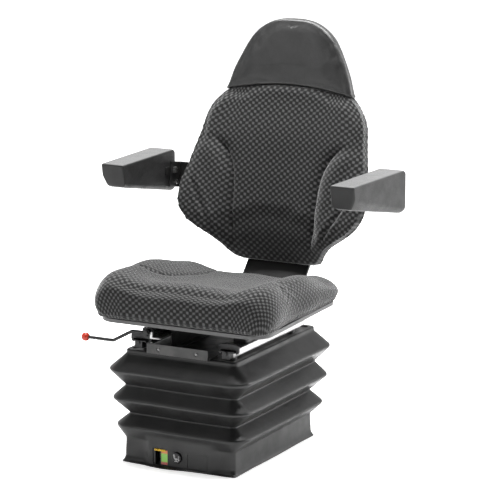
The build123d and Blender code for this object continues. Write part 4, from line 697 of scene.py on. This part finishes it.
def armrest(name, sign, body, node):
    rings = [[Vector((sign * x, y, z)) for x, y, z in arm_section(*station)] for station in arm_stations()]
    bm = bmesh.new()
    grid = [[bm.verts.new(v) for v in ring] for ring in rings]
    count = len(grid[0])
    for a, b in zip(grid, grid[1:]):
        for i in range(count):
            bm.faces.new((a[i], a[(i + 1) % count], b[(i + 1) % count], b[i]))
    bm.faces.new(grid[0])
    bm.faces.new(list(reversed(grid[-1])))
    bmesh.ops.recalc_face_normals(bm, faces=bm.faces)
    mesh = bpy.data.meshes.new(name)
    bm.to_mesh(mesh)
    bm.free()
    mesh.materials.append(FOAM)
    obj = bpy.data.objects.new(name, mesh)
    scene.collection.objects.link(obj)
    for poly in mesh.polygons:
        poly.use_smooth = True
    modified(obj, "WEIGHTED_NORMAL", keep_sharp=False)
    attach(obj, body)
    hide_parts(node)


armrest("armrest_cover_left", 1, "armrest_left", "armrest_pad_left")
armrest("armrest_cover_right", -1, "armrest_right", "armrest_pad_right")

# Bellows: each level holds the width, the front and rear y, the corner radius and the height
TOP_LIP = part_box("bellows")[1].z
RIDGE = 0.0025
skirt_levels = [(0.314, -0.213, 0.213, 0.010, 0.0006), (0.306, -0.2095, 0.2095, 0.010, 0.006),
                (0.302, -0.206, 0.206, 0.010, 0.014), (0.301, -0.2055, 0.2055, 0.010, 0.036),
                (0.301, -0.205, 0.205, 0.010, 0.060)]
ridges = [(0.360, -0.224, 0.241, 0.046, 0.090), (0.374, -0.232, 0.254, 0.048, 0.158),
          (0.384, -0.240, 0.262, 0.050, 0.231)]
valleys = [(0.291, -0.197, 0.214, 0.014, 0.119), (0.305, -0.205, 0.226, 0.014, 0.190),
           (0.303, -0.202, 0.226, 0.016, 0.269)]
levels = list(skirt_levels)
for ridge_level, valley in zip(ridges, valleys):
    width, yf, yr, corner, z = ridge_level
    levels += [(width, yf, yr, corner, z - RIDGE), (width, yf, yr, corner, z + RIDGE), valley]
levels += [(0.303, -0.202, 0.226, 0.016, TOP_LIP), (0.277, -0.189, 0.213, 0.009, TOP_LIP)]
levels = [np.array(level) for level in levels]


def soften(levels, radius):
    """Rings along the profile, with each fold turned through a short curve."""
    out = [levels[0]]
    for i in range(1, len(levels)):
        a, b = levels[i - 1], levels[i]
        size = math.hypot((b[0] - a[0]) / 2, b[4] - a[4])
        cut = min(radius, 0.45 * size) / size
        inner = [t for t in (0.25, 0.5, 0.75) if cut < t < 1 - cut] if size > 0.012 else []
        for t in [cut] + inner + [1 - cut]:
            out.append(a + (b - a) * t)
        if i + 1 < len(levels):
            c = levels[i + 1]
            size2 = math.hypot((c[0] - b[0]) / 2, c[4] - b[4])
            cut2 = min(radius, 0.45 * size2) / size2
            start, end = b + (a - b) * cut, b + (c - b) * cut2
            for t in (0.33, 0.67):
                out.append((1 - t) ** 2 * start + 2 * t * (1 - t) * b + t * t * end)
    out.append(levels[-1])
    return out


CORNER_STEPS, SIDE_STEPS = 8, 26


def ring_points(width, yf, yr, corner, z):
    """Rounded rectangle with the same number of points at every level."""
    points = []
    cx, half = width / 2 - corner, (yr - yf) / 2 - corner
    mid = (yf + yr) / 2
    centres = [(cx, mid + half, 0), (-cx, mid + half, 90), (-cx, mid - half, 180), (cx, mid - half, 270)]
    for i, (px, py, start) in enumerate(centres):
        for k in range(CORNER_STEPS + 1):
            a = math.radians(start + 90 * k / CORNER_STEPS)
            points.append((px + corner * math.cos(a), py + corner * math.sin(a)))
        qx, qy, begin = centres[(i + 1) % 4]
        a = math.radians(start + 90)
        x0, y0 = px + corner * math.cos(a), py + corner * math.sin(a)
        a = math.radians(begin)
        x1, y1 = qx + corner * math.cos(a), qy + corner * math.sin(a)
        for t in np.arange(1, SIDE_STEPS) / SIDE_STEPS:
            points.append((x0 + (x1 - x0) * t, y0 + (y1 - y0) * t))
    return [(x, y, z) for x, y in points]


def ring_faces(rings, count):
    """Quads between rings of count points that follow each other."""
    faces = []
    for i in range(rings - 1):
        for k in range(count):
            a, b = i * count + k, i * count + (k + 1) % count
            faces.append((a, b, b + count, a + count))
    return faces


rings = [ring_points(*level) for level in soften(levels, 0.0035)]
faces = ring_faces(len(rings), len(rings[0]))
points = np.array([point for ring in rings for point in ring])
z = points[:, 2]
skirt = 1 - step(z, 0.050, 0.085)
ripple = np.array([noise.noise(Vector((x * 14, y * 14, h * 22))) for x, y, h in points])
slow = np.array([noise.noise(Vector((x * 5 + 7, y * 5, h * 6))) for x, y, h in points])
out = points[:, :2] / np.maximum(np.linalg.norm(points[:, :2], axis=1, keepdims=True), 1e-6)
points[:, :2] += out * (0.0012 * ripple * skirt - 0.0008 * np.abs(slow) * (1 - skirt))[:, None]
points[:, 2] += np.where(z < 0.004, 0.0044 * np.abs(slow), 0.0)
points[:, 2] += (1 - skirt) * 0.0022 * slow * step(0.262 - z, 0, 0.02)
# The front of the skirt bulges over the panel, and its foot pushes out
x, y, z = points.T
front = y < -0.150
over = step(x, -0.094, -0.072) * (1 - step(x, 0.088, 0.110)) * front * (z < 0.085)
points[:, 1] += over * np.minimum(0.0, -0.2150 - y)
push = (1 - step(z, 0.001, 0.0065)) * (0.003 + 0.007 * bell(x + 0.035, 0.045))
points[:, 1] -= front * push * (1 - step(np.abs(x), 0.125, 0.15))
# Creases that run down the front of the top pleat near its ends
pleat = front * step(z, 0.236, 0.244) * (1 - step(z, 0.262, 0.268))
for cx, deep in ((-0.150, 0.0016), (-0.122, 0.0020), (0.128, 0.0012)):
    points[:, 1] += pleat * deep * bell(x - cx - 0.25 * (z - 0.25), 0.0045)
gaiter = make("bellows_skin", points, faces, RUBBER)
modified(gaiter, "SOLIDIFY", thickness=0.0022, offset=-1.0)
modified(gaiter, "SUBSURF", levels=1, render_levels=1)


def outline_block(name, ring, y0, y1, mat):
    """Block with an outline in X and Z, and flat ends at two places along Y."""
    count = len(ring)
    verts = [(px, y, pz) for y in (y0, y1) for px, pz in ring]
    sides = [(i, i + count, (i + 1) % count + count, (i + 1) % count) for i in range(count)]
    return make(name, verts, sides + [tuple(range(count)), tuple(reversed(range(count, 2 * count)))], mat)


def rounded_rectangle(x0, x1, z0, z1, radius, steps=8):
    ring = []
    for cx, cz, start in ((x1 - radius, z1 - radius, 0), (x0 + radius, z1 - radius, 90),
                          (x0 + radius, z0 + radius, 180), (x1 - radius, z0 + radius, 270)):
        for k in range(steps + 1):
            a = math.radians(start + 90 * k / steps)
            ring.append((cx + radius * math.cos(a), cz + radius * math.sin(a)))
    return ring


# The window in the front of the skirt, through which the panel shows
window_outline = rounded_rectangle(-0.0665, 0.084, 0.0055, 0.0475, 0.006)
window = outline_block("panel_window", window_outline, -0.30, -0.19, RUBBER)
for poly in window.data.polygons:
    poly.use_smooth = len(poly.vertices) == 4
modified(gaiter, "BOOLEAN", object=window, operation="DIFFERENCE", solver="EXACT")
bpy.data.objects.remove(window)
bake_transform(gaiter)
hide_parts("bellows")

# Sign on the weight knob: a seat and an arrow, as strokes in millimetres about the knob's middle
STROKES = (((-4.6, 6.4), (-3.2, -0.6), 1.25), ((-2.6, -1.6), (3.4, -1.2), 1.25),
           ((-2.8, -6.0), (3.0, -6.0), 0.8), ((0.2, -2.0), (0.2, -5.6), 0.8),
           ((5.8, -4.5), (5.8, 4.5), 0.55), ((5.8, 4.8), (4.4, 3.0), 0.5), ((5.8, 4.8), (7.2, 3.0), 0.5))
SIGN_SCALE, SIGN_PROUD, SIGN_SUNK = 0.00125, 0.0003, 0.0002
knob_low, knob_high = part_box("weight_knob")
knob_x, knob_z = (knob_low.x + knob_high.x) / 2, (knob_low.z + knob_high.z) / 2


def stroke_outline(start, end, radius):
    """A bar with round ends."""
    along = math.atan2(end[1] - start[1], end[0] - start[0])
    turns = [along + a for a in np.linspace(-math.pi / 2, math.pi / 2, 7)]
    ring = [(end[0] + radius * math.cos(a), end[1] + radius * math.sin(a)) for a in turns]
    return ring + [(start[0] - radius * math.cos(a), start[1] - radius * math.sin(a)) for a in turns]


bars = []
for stroke in STROKES:
    ring = [(knob_x + SIGN_SCALE * px, knob_z + SIGN_SCALE * pz) for px, pz in stroke_outline(*stroke)]
    bars.append(outline_block("bar", ring, knob_low.y - SIGN_PROUD, knob_low.y + SIGN_SUNK, SYMBOL))
sign = bars[0]
with bpy.context.temp_override(active_object=sign, selected_editable_objects=bars, selected_objects=bars):
    bpy.ops.object.join()
sign.name = "knob_sign"
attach(sign, body_of["weight_knob"])

# Air spring sleeve inside the bellows: radius and share of its height at each level
SLEEVE_SIDES = 32
low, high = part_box("air_spring")
cx, cy = (low.x + high.x) / 2, (low.y + high.y) / 2
profile = [(0.036, 0.0), (0.050, 0.12), (0.058, 0.27), (0.053, 0.42), (0.046, 0.5), (0.053, 0.58),
           (0.058, 0.73), (0.050, 0.90), (0.040, 1.0)]
points = []
for r, share in profile:
    for k in range(SLEEVE_SIDES):
        a = 2 * math.pi * k / SLEEVE_SIDES
        points.append((cx + r * math.cos(a), cy + r * math.sin(a), low.z + (high.z - low.z) * share))
faces = ring_faces(len(profile), SLEEVE_SIDES)
faces.append(tuple(reversed(range(SLEEVE_SIDES))))
faces.append(tuple(range(len(points) - SLEEVE_SIDES, len(points))))
sleeve = make("air_sleeve", points, faces, RUBBER)
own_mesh(sleeve)
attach(sleeve, "base")
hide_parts("air_spring")

# Stage: a floor that looks white to the camera and keeps the seat's shadow
FLOOR_Z = -0.0005
bpy.ops.mesh.primitive_plane_add(size=30.0, location=(0, 0, FLOOR_Z))
floor = bpy.context.object
floor.name = "floor"
t = Tree("floor")
t.finish(grey(0.93), 0.7)
spread = t.add("ShaderNodeVectorMath", operation="LENGTH")
t.link(t.coord, spread.inputs[0])
glow = t.add("ShaderNodeEmission")
glow.inputs["Color"].default_value = (1, 1, 1, 1)
path = t.add("ShaderNodeLightPath")
mirrored = t.ramp(path.outputs["Is Glossy Ray"], 0.0, 1.0, 1.0, 0.55)
strength = t.ramp(spread.outputs["Value"], 0.5, 2.2, 0.60, 1.0)
t.link(t.math("MULTIPLY", strength, mirrored), glow.inputs["Strength"])
seen = t.math("MAXIMUM", path.outputs["Is Camera Ray"],
              t.math("MAXIMUM", path.outputs["Is Glossy Ray"], path.outputs["Is Transmission Ray"]))
adder = t.add("ShaderNodeAddShader")
t.link(t.bsdf.outputs[0], adder.inputs[0])
t.link(glow.outputs[0], adder.inputs[1])
surface = t.nt.nodes["Material Output"].inputs["Surface"]
t.link(t.mix_shaders(seen, t.bsdf.outputs[0], adder.outputs[0]), surface)
floor.data.materials.append(t.mat)

world = bpy.data.worlds.new("studio")
scene.world = world
world.use_nodes = True
room = Graph(world.node_tree)


def backdrop(strength):
    node = room.add("ShaderNodeBackground")
    node.inputs["Color"].default_value = (1, 1, 1, 1)
    room.put(node.inputs["Strength"], strength)
    return node.outputs[0]


# Mirrored rays see a white backdrop low down and behind, and a darker room overhead, in front and to one side
toward = room.split(room.add("ShaderNodeTexCoord").outputs["Generated"])
overhead = room.ramp(toward["Z"], 0.30, 0.75, 1.0, 0.25)
ahead = room.ramp(toward["Y"], -0.5, 0.1, 0.25, 1.0)
aside = room.ramp(toward["X"], 0.1, 0.5, 1.0, 0.45)
shine = backdrop(room.math("MULTIPLY", room.math("MULTIPLY", overhead, ahead), aside))
path = room.add("ShaderNodeLightPath")
seen = room.math("MAXIMUM", path.outputs["Is Camera Ray"], path.outputs["Is Transmission Ray"])
unseen = room.mix_shaders(path.outputs["Is Glossy Ray"], backdrop(0.30), shine)
room.link(room.mix_shaders(seen, unseen, backdrop(1.0)), room.nt.nodes["World Output"].inputs["Surface"])


def lamp(name, place, aim, size, power):
    data = bpy.data.lights.new(name, "AREA")
    data.shape = "RECTANGLE"
    data.size, data.size_y = size
    data.energy = power
    obj = bpy.data.objects.new(name, data)
    scene.collection.objects.link(obj)
    obj.location = place
    obj.rotation_euler = (Vector(aim) - Vector(place)).to_track_quat("-Z", "Y").to_euler()
    return obj


lamp("top_light", (0.0, 0.55, 3.1), (0, 0, 0.4), (3.0, 1.8), 200)
lamp("key_light", (-1.8, -2.6, 2.4), (0, 0, 0.5), (1.6, 1.6), 14)
lamp("rim_light", (2.3, 2.3, 1.6), (0, 0, 0.5), (1.2, 2.2), 45)
